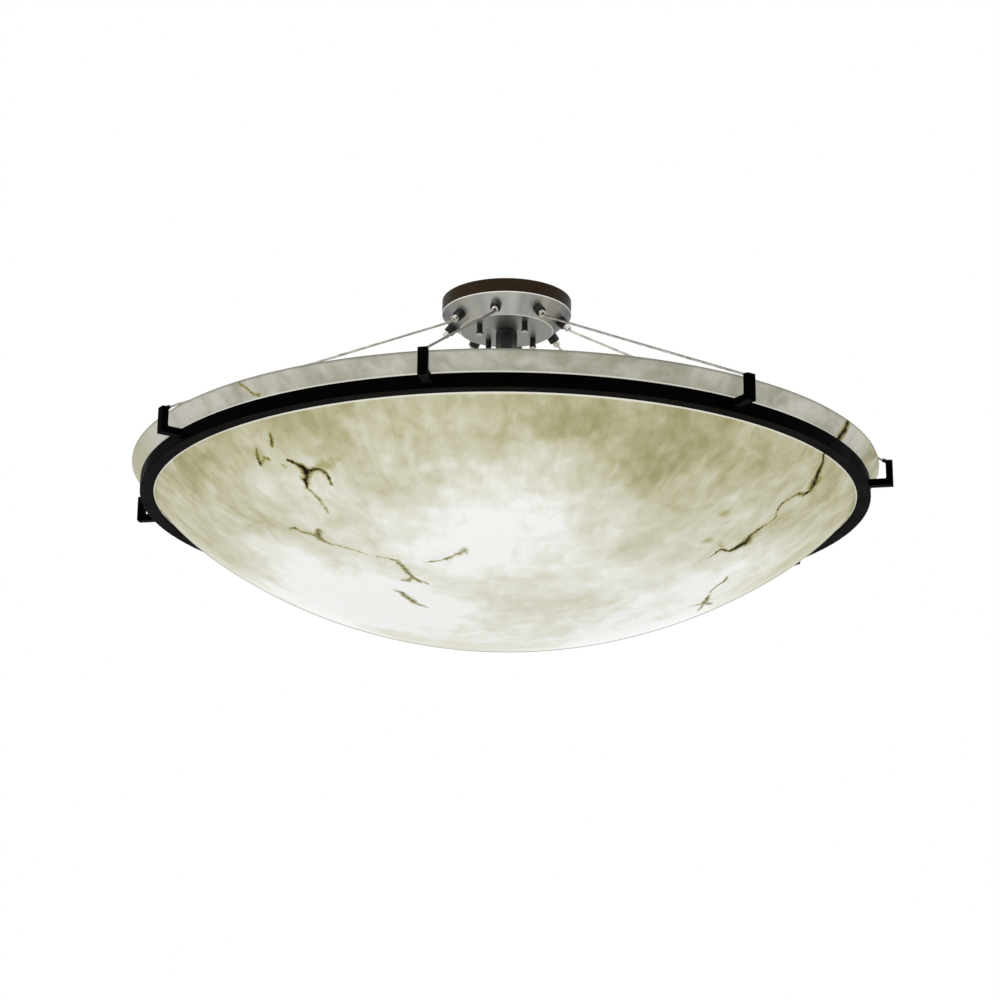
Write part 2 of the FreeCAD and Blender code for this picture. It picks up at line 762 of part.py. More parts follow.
def make_canopy_fixings():
    thickness = "Sizes.plate_thickness"
    plate = rod("PlateDisc", "Places.plate_radius", f"-{thickness}", "0")
    below, above = f"-{thickness} - Sizes.cut_over", "Sizes.cut_over"
    tools = [rod("PlateBore", "Sizes.plate_bore_radius", below, above)]
    tools += copies(
        "LagHole",
        lambda name: rod(name, "Sizes.lag_hole_radius", below, above),
        lambda i: round_the_light(lag_azimuth(i), place("lag_circle_radius")),
        LAG_COUNT,
    )
    tools += copies(
        "StudSeat",
        lambda name: rod(name, "Sizes.stud_radius + Sizes.thread_gap", below, above),
        at_stud,
        STUD_COUNT,
    )
    tools += copies(
        "HeadSeat",
        lambda name: rod(
            name,
            "Sizes.stud_head_radius + Sizes.thread_gap",
            "-Sizes.stud_head_height - 2 * Sizes.face_gap",
            above,
        ),
        at_stud,
        STUD_COUNT,
    )
    for side in (-1, 1):
        name = "Left" if side < 0 else "Right"
        middle = doc.addObject("Part::Box", name + "Slot")
        bind(
            middle,
            Length="Sizes.slot_length - Sizes.slot_width",
            Width="Sizes.slot_width",
            Height=f"{thickness} + 2 * Sizes.cut_over",
        )
        middle.setExpression(
            ".Placement.Base.x",
            f"{side} * Sizes.slot_spacing / 2 - (Sizes.slot_length - Sizes.slot_width) / 2",
        )
        middle.setExpression(".Placement.Base.y", "-Sizes.slot_width / 2")
        middle.setExpression(".Placement.Base.z", below)
        tools.append(middle)
        for end in (-1, 1):
            tip = rod(f"{name}SlotEnd{end + 1}", "Sizes.slot_width / 2", below, above)
            tip.setExpression(
                ".Placement.Base.x",
                f"{side} * Sizes.slot_spacing / 2"
                f" + {end} * (Sizes.slot_length - Sizes.slot_width) / 2",
            )
            tools.append(tip)
    ground_hole = rod("GroundHole", "Sizes.ground_screw_radius + Sizes.thread_gap", below, above)
    ground_hole.setExpression(".Placement.Base.y", "Sizes.ground_screw_place")
    tools.append(ground_hole)
    keep(cut("MountingPlate", plate, tools), "mounting_plate")

    head_foot = f"-{thickness} - Sizes.ground_head_height"
    head_radius = "Sizes.ground_screw_radius + Sizes.ground_head_width"
    ground = turned(
        "GroundScrew",
        [
            ("0", head_foot),
            (f"{head_radius} - Sizes.ground_head_edge", head_foot),
            (head_radius, f"{head_foot} + Sizes.ground_head_edge"),
            (head_radius, f"-{thickness} - Sizes.face_gap"),
            ("Sizes.ground_screw_radius", f"-{thickness} - Sizes.face_gap"),
            ("Sizes.ground_screw_radius", "-Sizes.face_gap"),
            ("0", "-Sizes.face_gap"),
        ],
    )
    ground.setExpression(".Placement.Base.y", "Sizes.ground_screw_place")
    keep(ground, "ground_screw")

    keep(group("CanopyStuds", copies("CanopyStud", canopy_stud, at_stud, STUD_COUNT)), "canopy_studs")
    keep(group("CanopyNuts", copies("CanopyNut", thumb_nut, at_stud, STUD_COUNT)), "canopy_nuts")


# ---------------------------------------------------------------- cable grips
def grip_barrel(name):
    """The grip's housing: a threaded shank through the cone, and a barrel that holds the plunger."""
    bore = "Sizes.cable_diameter / 2 + Sizes.barrel_bore_gap"
    out, length, edge = "Sizes.barrel_radius", "Sizes.barrel_length", "Sizes.barrel_edge"
    chamber = "Sizes.plunger_radius + Sizes.shoulder_width + Sizes.hole_gap"
    mouth = "Sizes.plunger_radius + Sizes.slide_gap"
    return turned(
        name,
        [
            (bore, "-Sizes.shank_length"),
            ("Sizes.shank_radius", "-Sizes.shank_length"),
            ("Sizes.shank_radius", "Sizes.face_gap"),
            (out, "Sizes.face_gap"),
            (out, f"{length} - {edge}"),
            (f"{out} - {edge}", length),
            (mouth, length),
            (mouth, f"{length} - Sizes.barrel_mouth"),
            (chamber, f"{length} - Sizes.barrel_mouth"),
            (chamber, "Places.barrel_floor"),
            (bore, "Places.barrel_floor"),
        ],
    )


def grip_plunger(name):
    """The release nipple: pressed in against its spring, it frees the cable."""
    radius, tip = "Sizes.plunger_radius", "Places.tip_reach"
    bore = "Sizes.cable_diameter / 2 + Sizes.plunger_bore_gap"
    round_, flare = "Sizes.plunger_round", "Sizes.plunger_flare"
    wide = f"{radius} + Sizes.shoulder_width"
    return turned(
        name,
        [
            (bore, "Places.shoulder_foot"),
            (wide, "Places.shoulder_foot"),
            (wide, "Places.shoulder_top"),
            (radius, "Places.shoulder_top"),
            (radius, f"{tip} - {round_}", round_, 1),
            (f"{radius} - {round_}", tip),
            (f"{bore} + {flare}", tip),
            (bore, f"{tip} - {flare}"),
        ],
    )


def make_grips():
    count = SIZES["cable_count"]
    keep_each(copies("GripBarrel", grip_barrel, at_grip, count), "grip_barrel")
    keep_each(copies("GripPlunger", grip_plunger, at_grip, count), "grip_plunger")
    back = "-Sizes.dish_sheet - Sizes.locknut_gap"
    locknuts = copies(
        "GripLocknut",
        lambda name: hexagon(
            name,
            "Sizes.locknut_across",
            f"{back} - Sizes.locknut_height",
            back,
            "Sizes.shank_radius + Sizes.thread_gap",
        ),
        at_grip,
        count,
    )
    keep(group("GripLocknuts", locknuts), "grip_locknuts")


# ---------------------------------------------------------------- cables
def cable(name):
    """A steel cable: straight through its grip, one bend, and straight on to its terminal."""
    tilt = (place("normal_x"), place("normal_z"))
    run = (place("run_x"), place("run_z"))
    turn = math.atan2(run[1], run[0]) - math.atan2(tilt[1], tilt[0])
    half = math.tan(turn / 2) * size("bend_radius")

    def along(base, direction, distance):
        return FreeCAD.Vector(base.x + direction[0] * distance, 0, base.z + direction[1] * distance)

    grip = FreeCAD.Vector(place("grip_radius"), 0, place("grip_z"))
    bend = FreeCAD.Vector(place("bend_x"), 0, place("bend_z"))
    entry = FreeCAD.Vector(place("upright_in"), 0, place("entry_z"))
    tail = along(grip, tilt, -size("cable_tail"))
    arc_start, arc_end = along(bend, tilt, -half), along(bend, run, half)
    side = (-tilt[1], tilt[0])
    centre = along(arc_start, side, size("bend_radius"))
    mid_way = (bend - centre).normalize() * size("bend_radius")
    stop = along(entry, run, size("terminal_seat") - size("terminal_cap"))
    path = Part.Wire(
        [
            Part.LineSegment(tail, arc_start).toShape(),
            Part.Arc(arc_start, centre + mid_way, arc_end).toShape(),
            Part.LineSegment(arc_end, stop).toShape(),
        ]
    )
    circle = Part.Circle(tail, FreeCAD.Vector(tilt[0], 0, tilt[1]), size("cable_diameter") / 2)
    piece = doc.addObject("Part::Feature", name)
    piece.Shape = path.makePipeShell([Part.Wire(circle.toShape())], True, False)
    expected = math.pi * (size("cable_diameter") / 2) ** 2 * path.Length
    if abs(piece.Shape.Volume / expected - 1) > VOLUME_TOLERANCE:
        raise RuntimeError(f"{name} has the wrong volume")
    return piece


def cable_terminal(name):
    """A threaded sleeve pressed on the cable's end, screwed into the bracket's upright."""
    bore, radius = "Sizes.cable_diameter / 2 + Sizes.face_gap", "Sizes.terminal_radius"
    top = "Sizes.terminal_seat - Sizes.terminal_length"
    inside = "Sizes.terminal_seat - Sizes.terminal_cap + Sizes.face_gap"
    return turned(
        name,
        [
            (bore, top),
            (f"{radius} - Sizes.terminal_taper_depth", top),
            (radius, f"{top} + Sizes.terminal_taper"),
            (radius, "Sizes.terminal_seat"),
            ("0", "Sizes.terminal_seat"),
            ("0", inside),
            (bore, inside),
        ],
    )


def make_cables():
    count = SIZES["cable_count"]
    cables = copies("Cable", cable, lambda i: round_the_light(cable_azimuth(i)), count)
    keep_each(cables, "cable")
    terminals = copies("CableTerminal", cable_terminal, at_terminal, count)
    keep(group("CableTerminals", terminals), "cable_terminals")


# ---------------------------------------------------------------- stem and lamp cluster
def make_stem():
    tube = cut(
        "StemTube",
        rod("StemOutside", "Sizes.stem_radius", "Places.stem_foot", "Places.stem_top"),
        [
            rod(
                "StemInside",
                "Sizes.stem_bore_radius",
                "Places.stem_foot - Sizes.cut_over",
                "Places.stem_top + Sizes.cut_over",
            )
        ],
    )
    keep(tube, "stem_tube")
    thread = "Sizes.stem_radius + Sizes.thread_gap"
    boss_top = "Places.disc_level - Sizes.face_gap"
    boss = hexagon(
        "StemBoss",
        "Sizes.boss_across",
        "Places.disc_level - Sizes.boss_height",
        boss_top,
        thread,
        "Sizes.boss_chamfer",
    )
    keep(boss, "stem_boss")
    on_disc = "Places.disc_level + Sizes.dish_sheet + Sizes.face_gap"
    upper = hexagon(
        "StemUpperNut",
        "Sizes.stem_locknut_across",
        on_disc,
        f"{on_disc} + Sizes.stem_locknut_height",
        thread,
    )
    under_hub = "Places.hub_top - Sizes.hub_wall - Sizes.face_gap"
    lower = hexagon(
        "StemLowerNut",
        "Sizes.stem_locknut_across",
        "Places.stem_foot + Sizes.face_gap",
        under_hub,
        thread,
    )
    keep(group("StemLocknuts", [upper, lower]), "stem_locknuts")
    lead = rod(
        "LampLead",
        "Sizes.lead_radius",
        "Places.stem_foot - Sizes.lead_below",
        "Places.stem_top + Sizes.lead_above",
    )
    lead.setExpression(
        ".Placement.Base.x", "Sizes.stem_bore_radius - Sizes.lead_radius - Sizes.face_gap"
    )
    keep(lead, "lamp_lead")


def make_hub():
    radius, wall, top = "Sizes.hub_radius", "Sizes.hub_wall", "Places.hub_top"
    foot = f"{top} - Sizes.hub_height"
    shell = turned(
        "HubShell",
        [
            ("Sizes.stem_radius + Sizes.hole_gap", f"{top} - {wall}"),
            (f"{radius} - {wall}", f"{top} - {wall}"),
            (f"{radius} - {wall}", foot),
            (radius, foot),
            (radius, f"{top} - Sizes.hub_edge"),
            (f"{radius} - Sizes.hub_edge", top),
            ("Sizes.stem_radius + Sizes.hole_gap", top),
        ],
    )
    holes = copies(
        "ArmHole",
        lambda name: rod(
            name,
            "Sizes.arm_radius + Sizes.hole_gap",
            f"{radius} - {wall} - Sizes.arm_inside_hub",
            f"{radius} + Sizes.cut_over",
        ),
        at_lamp,
        SIZES["lamp_count"],
    )
    keep(cut("LampHub", shell, holes), "lamp_hub")
    spigot = f"{radius} - {wall} - Sizes.hole_gap"
    cover_foot = f"{foot} - Sizes.hub_cover_thickness"
    cover = turned(
        "HubCover",
        [
            ("0", cover_foot),
            (f"{radius} - Sizes.hub_cover_edge", cover_foot),
            (radius, f"{cover_foot} + Sizes.hub_cover_edge"),
            (radius, f"{foot} - Sizes.face_gap"),
            (spigot, f"{foot} - Sizes.face_gap"),
            (spigot, f"{foot} + Sizes.hub_cover_spigot"),
            ("0", f"{foot} + Sizes.hub_cover_spigot"),
        ],
    )
    keep(cover, "hub_cover")


def lamp_arm(name):
    start = "Sizes.hub_radius - Sizes.hub_wall - Sizes.arm_inside_hub"
    end = "Places.socket_start + Sizes.arm_in_socket"
    outside = rod(name + "_outside", "Sizes.arm_radius", start, end)
    inside = rod(
        name + "_inside",
        "Sizes.arm_bore_radius",
        f"{start} - Sizes.cut_over",
        f"{end} + Sizes.cut_over",
    )
    return cut(name, outside, [inside])


def lamp_socket(name):
    start, mouth = "Places.socket_start", "Places.socket_mouth"
    entry = "Sizes.arm_radius + Sizes.thread_gap"
    well = "Sizes.bulb_neck_radius + Sizes.hole_gap"
    radius = f"{well} + Sizes.socket_wall"
    stop = f"{start} + Sizes.arm_in_socket + Sizes.face_gap"
    return turned(
        name,
        [
            (entry, start),
            ("Sizes.arm_radius + Sizes.socket_collar", start),
            (radius, f"{start} + Sizes.socket_cone"),
            (radius, f"{mouth} - Sizes.socket_edge"),
            (f"{radius} - Sizes.socket_edge", mouth),
            (well, mouth),
            (well, f"{mouth} - Sizes.socket_well"),
            ("0", f"{mouth} - Sizes.socket_well"),
            ("0", stop),
            (entry, stop),
        ],
    )


def lamp_bulb(name):
    """A lamp: a screw cap in the socket's well, a neck that widens, and a round globe."""
    neck, globe, shell = "Sizes.bulb_neck_radius", "Sizes.bulb_globe_radius", "Sizes.bulb_shell"
    base = "Places.socket_mouth - Sizes.bulb_cap_length"
    tip = f"{base} + Sizes.bulb_length"
    flare, waist = f"({neck} + Sizes.bulb_neck_flare)", "Places.socket_mouth + Sizes.bulb_neck_length"
    side = f"sqrt({globe}^2 - {flare}^2)"
    inner_side = f"sqrt(({globe} - {shell})^2 - ({flare} - {shell})^2)"
    return turned(
        name,
        [
            ("0", base),
            (neck, base),
            (neck, waist),
            (flare, f"{tip} - {globe} - {side}", globe, 1),
            ("0", tip),
            ("0", f"{tip} - {shell}", f"{globe} - {shell}", -1),
            (f"{flare} - {shell}", f"{tip} - {globe} - {inner_side}"),
            (f"{neck} - {shell}", waist),
            (f"{neck} - {shell}", f"{base} + {shell}"),
            ("0", f"{base} + {shell}"),
        ],
    )


def make_lamps():
    count = SIZES["lamp_count"]
    keep(group("LampArms", copies("LampArm", lamp_arm, at_lamp, count)), "lamp_arms")
    keep_each(copies("LampSocket", lamp_socket, at_lamp, count), "lamp_socket")
    keep_each(copies("LampBulb", lamp_bulb, at_lamp, count), "lamp_bulb")


# ---------------------------------------------------------------- build, check and write
make_canopy_fixings()
make_canopy()
make_grips()
make_cables()
make_brackets()
make_ring()
make_bowl()
make_stem()
make_hub()
make_lamps()
doc.recompute()

for item in doc.Objects:
    if "Invalid" in item.State or "Error" in item.State:
        raise RuntimeError(f"{item.Name} did not build: {item.State}")
for piece in parts:
    if piece.Shape.isNull() or not piece.Shape.isValid():
        raise RuntimeError(f"{piece.Label} has no valid shape")

os.makedirs("parts", exist_ok=True)
for piece in parts:
    piece.Shape.exportStep(f"parts/{piece.Label}.step")
    print(f"{piece.Label:18s} {len(piece.Shape.Solids)} solids {piece.Shape.Volume:12.1f} mm3")
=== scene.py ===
# Semi flush ceiling light: a resin bowl in a black angle ring, hung by steel cables from a round canopy.
# Metres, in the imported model's frame: +Z is up, the ceiling is z = 0 and the photograph looks up from -Y.
import bpy
import bmesh
import math
from mathutils import Matrix, Vector, noise
from mathutils.bvhtree import BVHTree
from mathutils.kdtree import KDTree


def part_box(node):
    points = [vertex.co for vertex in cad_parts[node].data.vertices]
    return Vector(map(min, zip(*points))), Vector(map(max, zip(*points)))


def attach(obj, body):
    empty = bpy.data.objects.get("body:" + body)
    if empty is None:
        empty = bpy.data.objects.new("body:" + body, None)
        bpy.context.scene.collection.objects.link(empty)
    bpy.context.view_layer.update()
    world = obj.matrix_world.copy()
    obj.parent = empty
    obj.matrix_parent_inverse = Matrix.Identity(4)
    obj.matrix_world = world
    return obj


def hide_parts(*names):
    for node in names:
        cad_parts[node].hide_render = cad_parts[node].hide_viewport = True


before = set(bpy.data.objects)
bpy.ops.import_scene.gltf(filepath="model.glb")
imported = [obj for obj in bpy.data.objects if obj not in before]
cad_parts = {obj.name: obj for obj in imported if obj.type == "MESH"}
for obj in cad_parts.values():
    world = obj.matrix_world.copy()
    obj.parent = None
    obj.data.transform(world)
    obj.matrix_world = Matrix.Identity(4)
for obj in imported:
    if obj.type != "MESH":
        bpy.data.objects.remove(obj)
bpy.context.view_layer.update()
bowlLow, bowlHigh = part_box("bowl")
print("frame loaded:", len(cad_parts), "nodes")


# The camera: where the photograph was taken from, fitted to the rim, the ring and the canopy.
photoView = {
    "imageSize": 1000,  # pixels, a square
    "sensor": 36.0,  # mm, as the lens
    "lens": 88.4,
    "distance": 4.0548,  # from the middle of the rim
    "below": 17.626,  # degrees under the rim's level
    "yaw": -0.12,
    "pitch": -0.507,
    "roll": 0.467,
    "clip": (0.05, 200),
}


def swing(first, second, degrees):
    turn = math.radians(degrees)
    return (
        first * math.cos(turn) + second * math.sin(turn),
        second * math.cos(turn) - first * math.sin(turn),
    )


def placeCamera():
    rimCentre = Vector((0, 0, bowlHigh.z))
    below = math.radians(photoView["below"])
    away = Vector((0, -math.cos(below), -math.sin(below)))
    ahead, side = -away, Vector((1, 0, 0))
    above = side.cross(ahead)
    ahead, side = swing(ahead, side, photoView["yaw"])
    ahead, above = swing(ahead, above, photoView["pitch"])
    side, above = swing(side, above, photoView["roll"])
    data = bpy.data.cameras.new("photoCamera")
    data.lens, data.sensor_width = photoView["lens"], photoView["sensor"]
    data.clip_start, data.clip_end = photoView["clip"]
    made = bpy.data.objects.new("photoCamera", data)
    bpy.context.scene.collection.objects.link(made)
    turned = Matrix((side, above, -ahead)).transposed().to_4x4()
    made.matrix_world = Matrix.Translation(rimCentre + away * photoView["distance"]) @ turned
    bpy.context.scene.camera = made
    return made


camera = placeCamera()


def throughPixel(x, y):  # the direction from the camera through a pixel of the photograph
    half = photoView["imageSize"] / 2
    reach = photoView["lens"] / photoView["sensor"] * photoView["imageSize"]
    turned = camera.matrix_world.to_3x3()
    return (turned @ Vector(((x - half) / reach, (half - y) / reach, -1))).normalized()


print("camera placed")


# Node helpers.
def newMaterial(name):
    material = bpy.data.materials.new(name)
    material.use_nodes = True
    return material, material.node_tree, material.node_tree.nodes["Principled BSDF"]


def addNode(tree, kind, **settings):
    node = tree.nodes.new(kind)
    for key, value in settings.items():
        setattr(node, key, value)
    return node


def feed(tree, target, source):  # links a socket to it, or sets a value, and makes a colour opaque
    if isinstance(source, bpy.types.NodeSocket):
        tree.links.new(source, target)
    elif target.type == "RGBA":
        target.default_value = (*source, 1.0)
    else:
        target.default_value = source


def setInputs(tree, node, settings):
    for key, source in settings.items():
        feed(tree, node.inputs[key], source)


def math2(tree, operation, first, second=0.0):
    node = addNode(tree, "ShaderNodeMath", operation=operation)
    feed(tree, node.inputs[0], first)
    feed(tree, node.inputs[1], second)
    return node.outputs[0]


def addUp(tree, total, *others):
    for value in others:
        total = math2(tree, "ADD", total, value)
    return total


def vectorMath(tree, operation, *sources):
    node = addNode(tree, "ShaderNodeVectorMath", operation=operation)
    for target, source in zip(node.inputs, sources):
        feed(tree, target, source)
    return node.outputs["Value" if operation in ("LENGTH", "DISTANCE") else "Vector"]


def apart(tree, vector):  # its X, Y and Z
    node = addNode(tree, "ShaderNodeSeparateXYZ")
    feed(tree, node.inputs[0], vector)
    return node.outputs


def together(tree, x, y):
    node = addNode(tree, "ShaderNodeCombineXYZ")
    setInputs(tree, node, {"X": x, "Y": y})
    return node.outputs[0]


def blendColour(tree, share, first, second):
    node = addNode(tree, "ShaderNodeMix", data_type="RGBA", clamp_factor=True)
    setInputs(tree, node, {"Factor": share, "A": first, "B": second})
    return node.outputs["Result"]


def spread(tree, value, low, high, toLow=0.0, toHigh=1.0):  # a smooth step between two values
    node = addNode(tree, "ShaderNodeMapRange", interpolation_type="SMOOTHSTEP")
    settings = {"Value": value, "From Min": low, "From Max": high, "To Min": toLow, "To Max": toHigh}
    setInputs(tree, node, settings)
    return node.outputs["Result"]


def noiseOf(tree, vector, scale, detail=3.0, roughness=0.5, distortion=0.0, output="Fac"):
    node = addNode(tree, "ShaderNodeTexNoise")
    settings = {"Vector": vector, "Scale": scale, "Detail": detail, "Roughness": roughness}
    setInputs(tree, node, settings | {"Distortion": distortion})
    return node.outputs[output]


def objectPlace(tree):
    return addNode(tree, "ShaderNodeTexCoord").outputs["Object"]


def normalZ(tree):  # negative where a face looks down
    return apart(tree, addNode(tree, "ShaderNodeNewGeometry").outputs["Normal"])["Z"]


def turnedAway(tree, *span):  # rises where a face turns away from the camera
    node = addNode(tree, "ShaderNodeLayerWeight")
    node.inputs["Blend"].default_value = 0.5
    return spread(tree, node.outputs["Facing"], *span)


def newGroup(name, inputs, outputs):
    group = bpy.data.node_groups.new(name, "ShaderNodeTree")
    for label, kind, default in inputs:
        socket = group.interface.new_socket(label, in_out="INPUT", socket_type=kind)
        if default is not None:
            socket.default_value = default
    for label, kind in outputs:
        group.interface.new_socket(label, in_out="OUTPUT", socket_type=kind)
    return group, group.nodes.new("NodeGroupInput"), group.nodes.new("NodeGroupOutput")


def useGroup(tree, group, **values):
    node = addNode(tree, "ShaderNodeGroup", node_tree=group)
    setInputs(tree, node, values)
    return node


def bumpOn(tree, shader, height, distance):
    node = addNode(tree, "ShaderNodeBump")
    setInputs(tree, node, {"Strength": 1.0, "Distance": distance, "Height": height})
    tree.links.new(node.outputs["Normal"], shader.inputs["Normal"])


# Effects that several finishes share. A noise's numbers are its scale, detail, roughness and distortion.
noiseSpan = (0.3, 0.7)  # where a noise's values mostly lie
speckleForm = {
    "grain": (2.0, 0.6),  # without the scale, which each finish sets
    "smudge": (4.0, 0.62, 0.4),
    "smudgeSpan": (0.32, 0.7),
}
latheForm = {
    "lean": -0.6,  # lets the lines run down a cone too
    "around": 3.0,
    "lines": (1.0, 3.0, 0.7),
    "sheen": (2.6, 2.0, 0.5),
}


def makeSpeckle():  # fine grain of a coat, and the larger smudges that handling leaves
    group, start, end = newGroup(
        "speckle",
        (("Vector", "NodeSocketVector", None), ("Grain", "NodeSocketFloat", 900.0),
         ("Smudge", "NodeSocketFloat", 18.0)),
        (("Grain", "NodeSocketFloat"), ("Smudge", "NodeSocketFloat")),
    )
    given = start.outputs
    grain = noiseOf(group, given["Vector"], given["Grain"], *speckleForm["grain"])
    smudge = noiseOf(group, given["Vector"], given["Smudge"], *speckleForm["smudge"])
    smudge = spread(group, smudge, *speckleForm["smudgeSpan"])
    setInputs(group, end, {"Grain": grain, "Smudge": smudge})
    return group


def makeLathe():  # lines round the light's axis, as a turned or spun and brushed face has
    group, start, end = newGroup(
        "latheLines",
        (("Vector", "NodeSocketVector", None), ("Lines", "NodeSocketFloat", 1400.0)),
        (("Lines", "NodeSocketFloat"), ("Sheen", "NodeSocketFloat")),
    )
    x, y, z = apart(group, start.outputs["Vector"])
    around = math2(group, "ARCTAN2", y, x)
    out = addUp(group, math2(group, "MULTIPLY", x, x), math2(group, "MULTIPLY", y, y))
    slope = addUp(group, math2(group, "SQRT", out), math2(group, "MULTIPLY", z, latheForm["lean"]))
    flat = together(
        group, math2(group, "MULTIPLY", slope, start.outputs["Lines"]),
        math2(group, "MULTIPLY", around, latheForm["around"]),
    )
    fan = together(group, math2(group, "COSINE", around), math2(group, "SINE", around))
    lines = noiseOf(group, flat, *latheForm["lines"])
    # The sheen: soft bands round the axis, which the dish paints as reflection.
    sheen = spread(group, noiseOf(group, fan, *latheForm["sheen"]), *noiseSpan)
    setInputs(group, end, {"Lines": lines, "Sheen": sheen})
    return group


def makePool():  # a soft round pool of light or colour about a point
    group, start, end = newGroup(
        "pool",
        (("Vector", "NodeSocketVector", None), ("Centre", "NodeSocketVector", None),
         ("Reach", "NodeSocketFloat", 0.1)),
        (("Mask", "NodeSocketFloat"),),
    )
    gap = vectorMath(group, "DISTANCE", start.outputs["Vector"], start.outputs["Centre"])
    share = math2(group, "DIVIDE", gap, start.outputs["Reach"])
    setInputs(group, end, {"Mask": spread(group, share, 1.0, 0.0)})
    return group


speckle, latheLines, pool = makeSpeckle(), makeLathe(), makePool()


# Painted, plated and moulded finishes, each in its own settings.
coats = {
    "blackPaint": {"colour": (0.0007, 0.0005, 0.0005), "wear": (0.0014, 0.0010, 0.0010), "metal": 0.0,
                   "rough": (0.40, 0.55), "specular": 0.004, "grain": 1100, "depth": 0.00004,
                   "under": (0.0085, 0.0078, 0.0073), "underSpan": (-0.7, -0.95)},
    "blackOxide": {"colour": (0.0040, 0.0036, 0.0034), "wear": (0.010, 0.009, 0.0085), "metal": 0.0,
                   "rough": (0.22, 0.36), "specular": 0.30, "grain": 1100, "depth": 0.00003},
    "thumbNut": {"colour": (0.0040, 0.0036, 0.0034), "wear": (0.010, 0.009, 0.0085), "metal": 0.0,
                 "rough": (0.22, 0.36), "specular": 0.25, "grain": 1100, "depth": 0.00003,
                 # the foot's colour is a painted highlight
                 "foot": (0.55, 0.53, 0.50), "footHeight": 0.0014, "node": "canopy_nuts"},
    "bronzePaint": {"colour": (0.023, 0.0135, 0.0068), "wear": (0.032, 0.0190, 0.0098), "metal": 0.0,
                    "rough": (0.34, 0.5), "specular": 0.05, "grain": 700, "depth": 0.00003},
    "nickel": {"colour": (0.70, 0.68, 0.63), "wear": (0.5, 0.47, 0.42), "metal": 1.0,
               "rough": (0.12, 0.26), "specular": 0.5, "grain": 2200, "depth": 0.00001},
    "zinc": {"colour": (0.50, 0.51, 0.52), "wear": (0.36, 0.37, 0.36), "metal": 1.0,
             "rough": (0.34, 0.52), "specular": 0.5, "grain": 900, "depth": 0.00002},
    "greenZinc": {"colour": (0.10, 0.32, 0.14), "wear": (0.16, 0.36, 0.2), "metal": 0.6,
                  "rough": (0.3, 0.45), "specular": 0.5, "grain": 900, "depth": 0.00002},
    "silicone": {"colour": (0.74, 0.73, 0.68), "wear": (0.6, 0.58, 0.5), "metal": 0.0,
                 "rough": (0.4, 0.6), "specular": 0.4, "grain": 400, "depth": 0.00005},
    "leadJacket": {"colour": (0.022, 0.022, 0.023), "wear": (0.05, 0.05, 0.05), "metal": 0.0,
                   "rough": (0.45, 0.62), "specular": 0.4, "grain": 500, "depth": 0.00004},
    "whitePaint": {"colour": (0.80, 0.80, 0.78), "wear": (0.70, 0.69, 0.65), "metal": 0.0,
                   "rough": (0.28, 0.42), "specular": 0.5, "grain": 600, "depth": 0.00004},
    "glazedWhite": {"colour": (0.84, 0.83, 0.79), "wear": (0.74, 0.72, 0.66), "metal": 0.0,
                    "rough": (0.14, 0.26), "specular": 0.5, "grain": 300, "depth": 0.00003},
}


def makeCoat(name):
    look = coats[name]
    material, tree, shader = newMaterial(name)
    marks = useGroup(tree, speckle, Vector=objectPlace(tree), Grain=float(look["grain"]))
    base = blendColour(tree, marks.outputs["Smudge"], look["colour"], look["wear"])
    if "foot" in look:  # a painted highlight on the turned edge at the bottom
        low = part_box(look["node"])[0].z
        foot = spread(tree, apart(tree, objectPlace(tree))["Z"], low + look["footHeight"], low)
        base = blendColour(tree, foot, base, look["foot"])
    if "under" in look:  # the faces that look down catch more light
        base = blendColour(tree, spread(tree, normalZ(tree), *look["underSpan"]), base, look["under"])
    setInputs(tree, shader, {
        "Base Color": base,
        "Roughness": spread(tree, marks.outputs["Smudge"], 0.0, 1.0, *look["rough"]),
        "Metallic": look["metal"],
        "Specular IOR Level": look["specular"],
    })
    bumpOn(tree, shader, marks.outputs["Grain"], look["depth"])
    return material


finishes = {name: makeCoat(name) for name in coats}
print("coats made:", len(finishes))


# The canopy's dish: spun steel, brushed round its axis and left satin.
dishLook = {
    "colour": (0.60, 0.60, 0.625),
    # painted reflection: the darker bands of the sheen round the axis
    "paintedDarkReflection": (0.40, 0.395, 0.41),
    # painted shade: the downward-facing disc, darker than the cone
    "disc": (0.44, 0.44, 0.455),
    "coneFrom": (0.0004, 0.002),  # metres above the disc
    "turned": (0.12, 0.115, 0.11),  # painted shade where the cone turns away from the camera
    "paintedShadeSpan": (0.3, 0.75, 0.0, 0.85),
    "edge": (0.92, 0.91, 0.91),  # a painted highlight on the turned edges of the disc and of the cone's top
    "edgeWidth": 0.0016,
    "discRadius": 0.0778,
    "rough": (0.34, 0.46),
    "brush": 0.45,
    "lines": 1500.0,
    "depth": 0.00002,
}


def offAxis(tree, vector):  # its distance from the light's axis
    return vectorMath(tree, "LENGTH", vectorMath(tree, "MULTIPLY", vector, (1, 1, 0)))


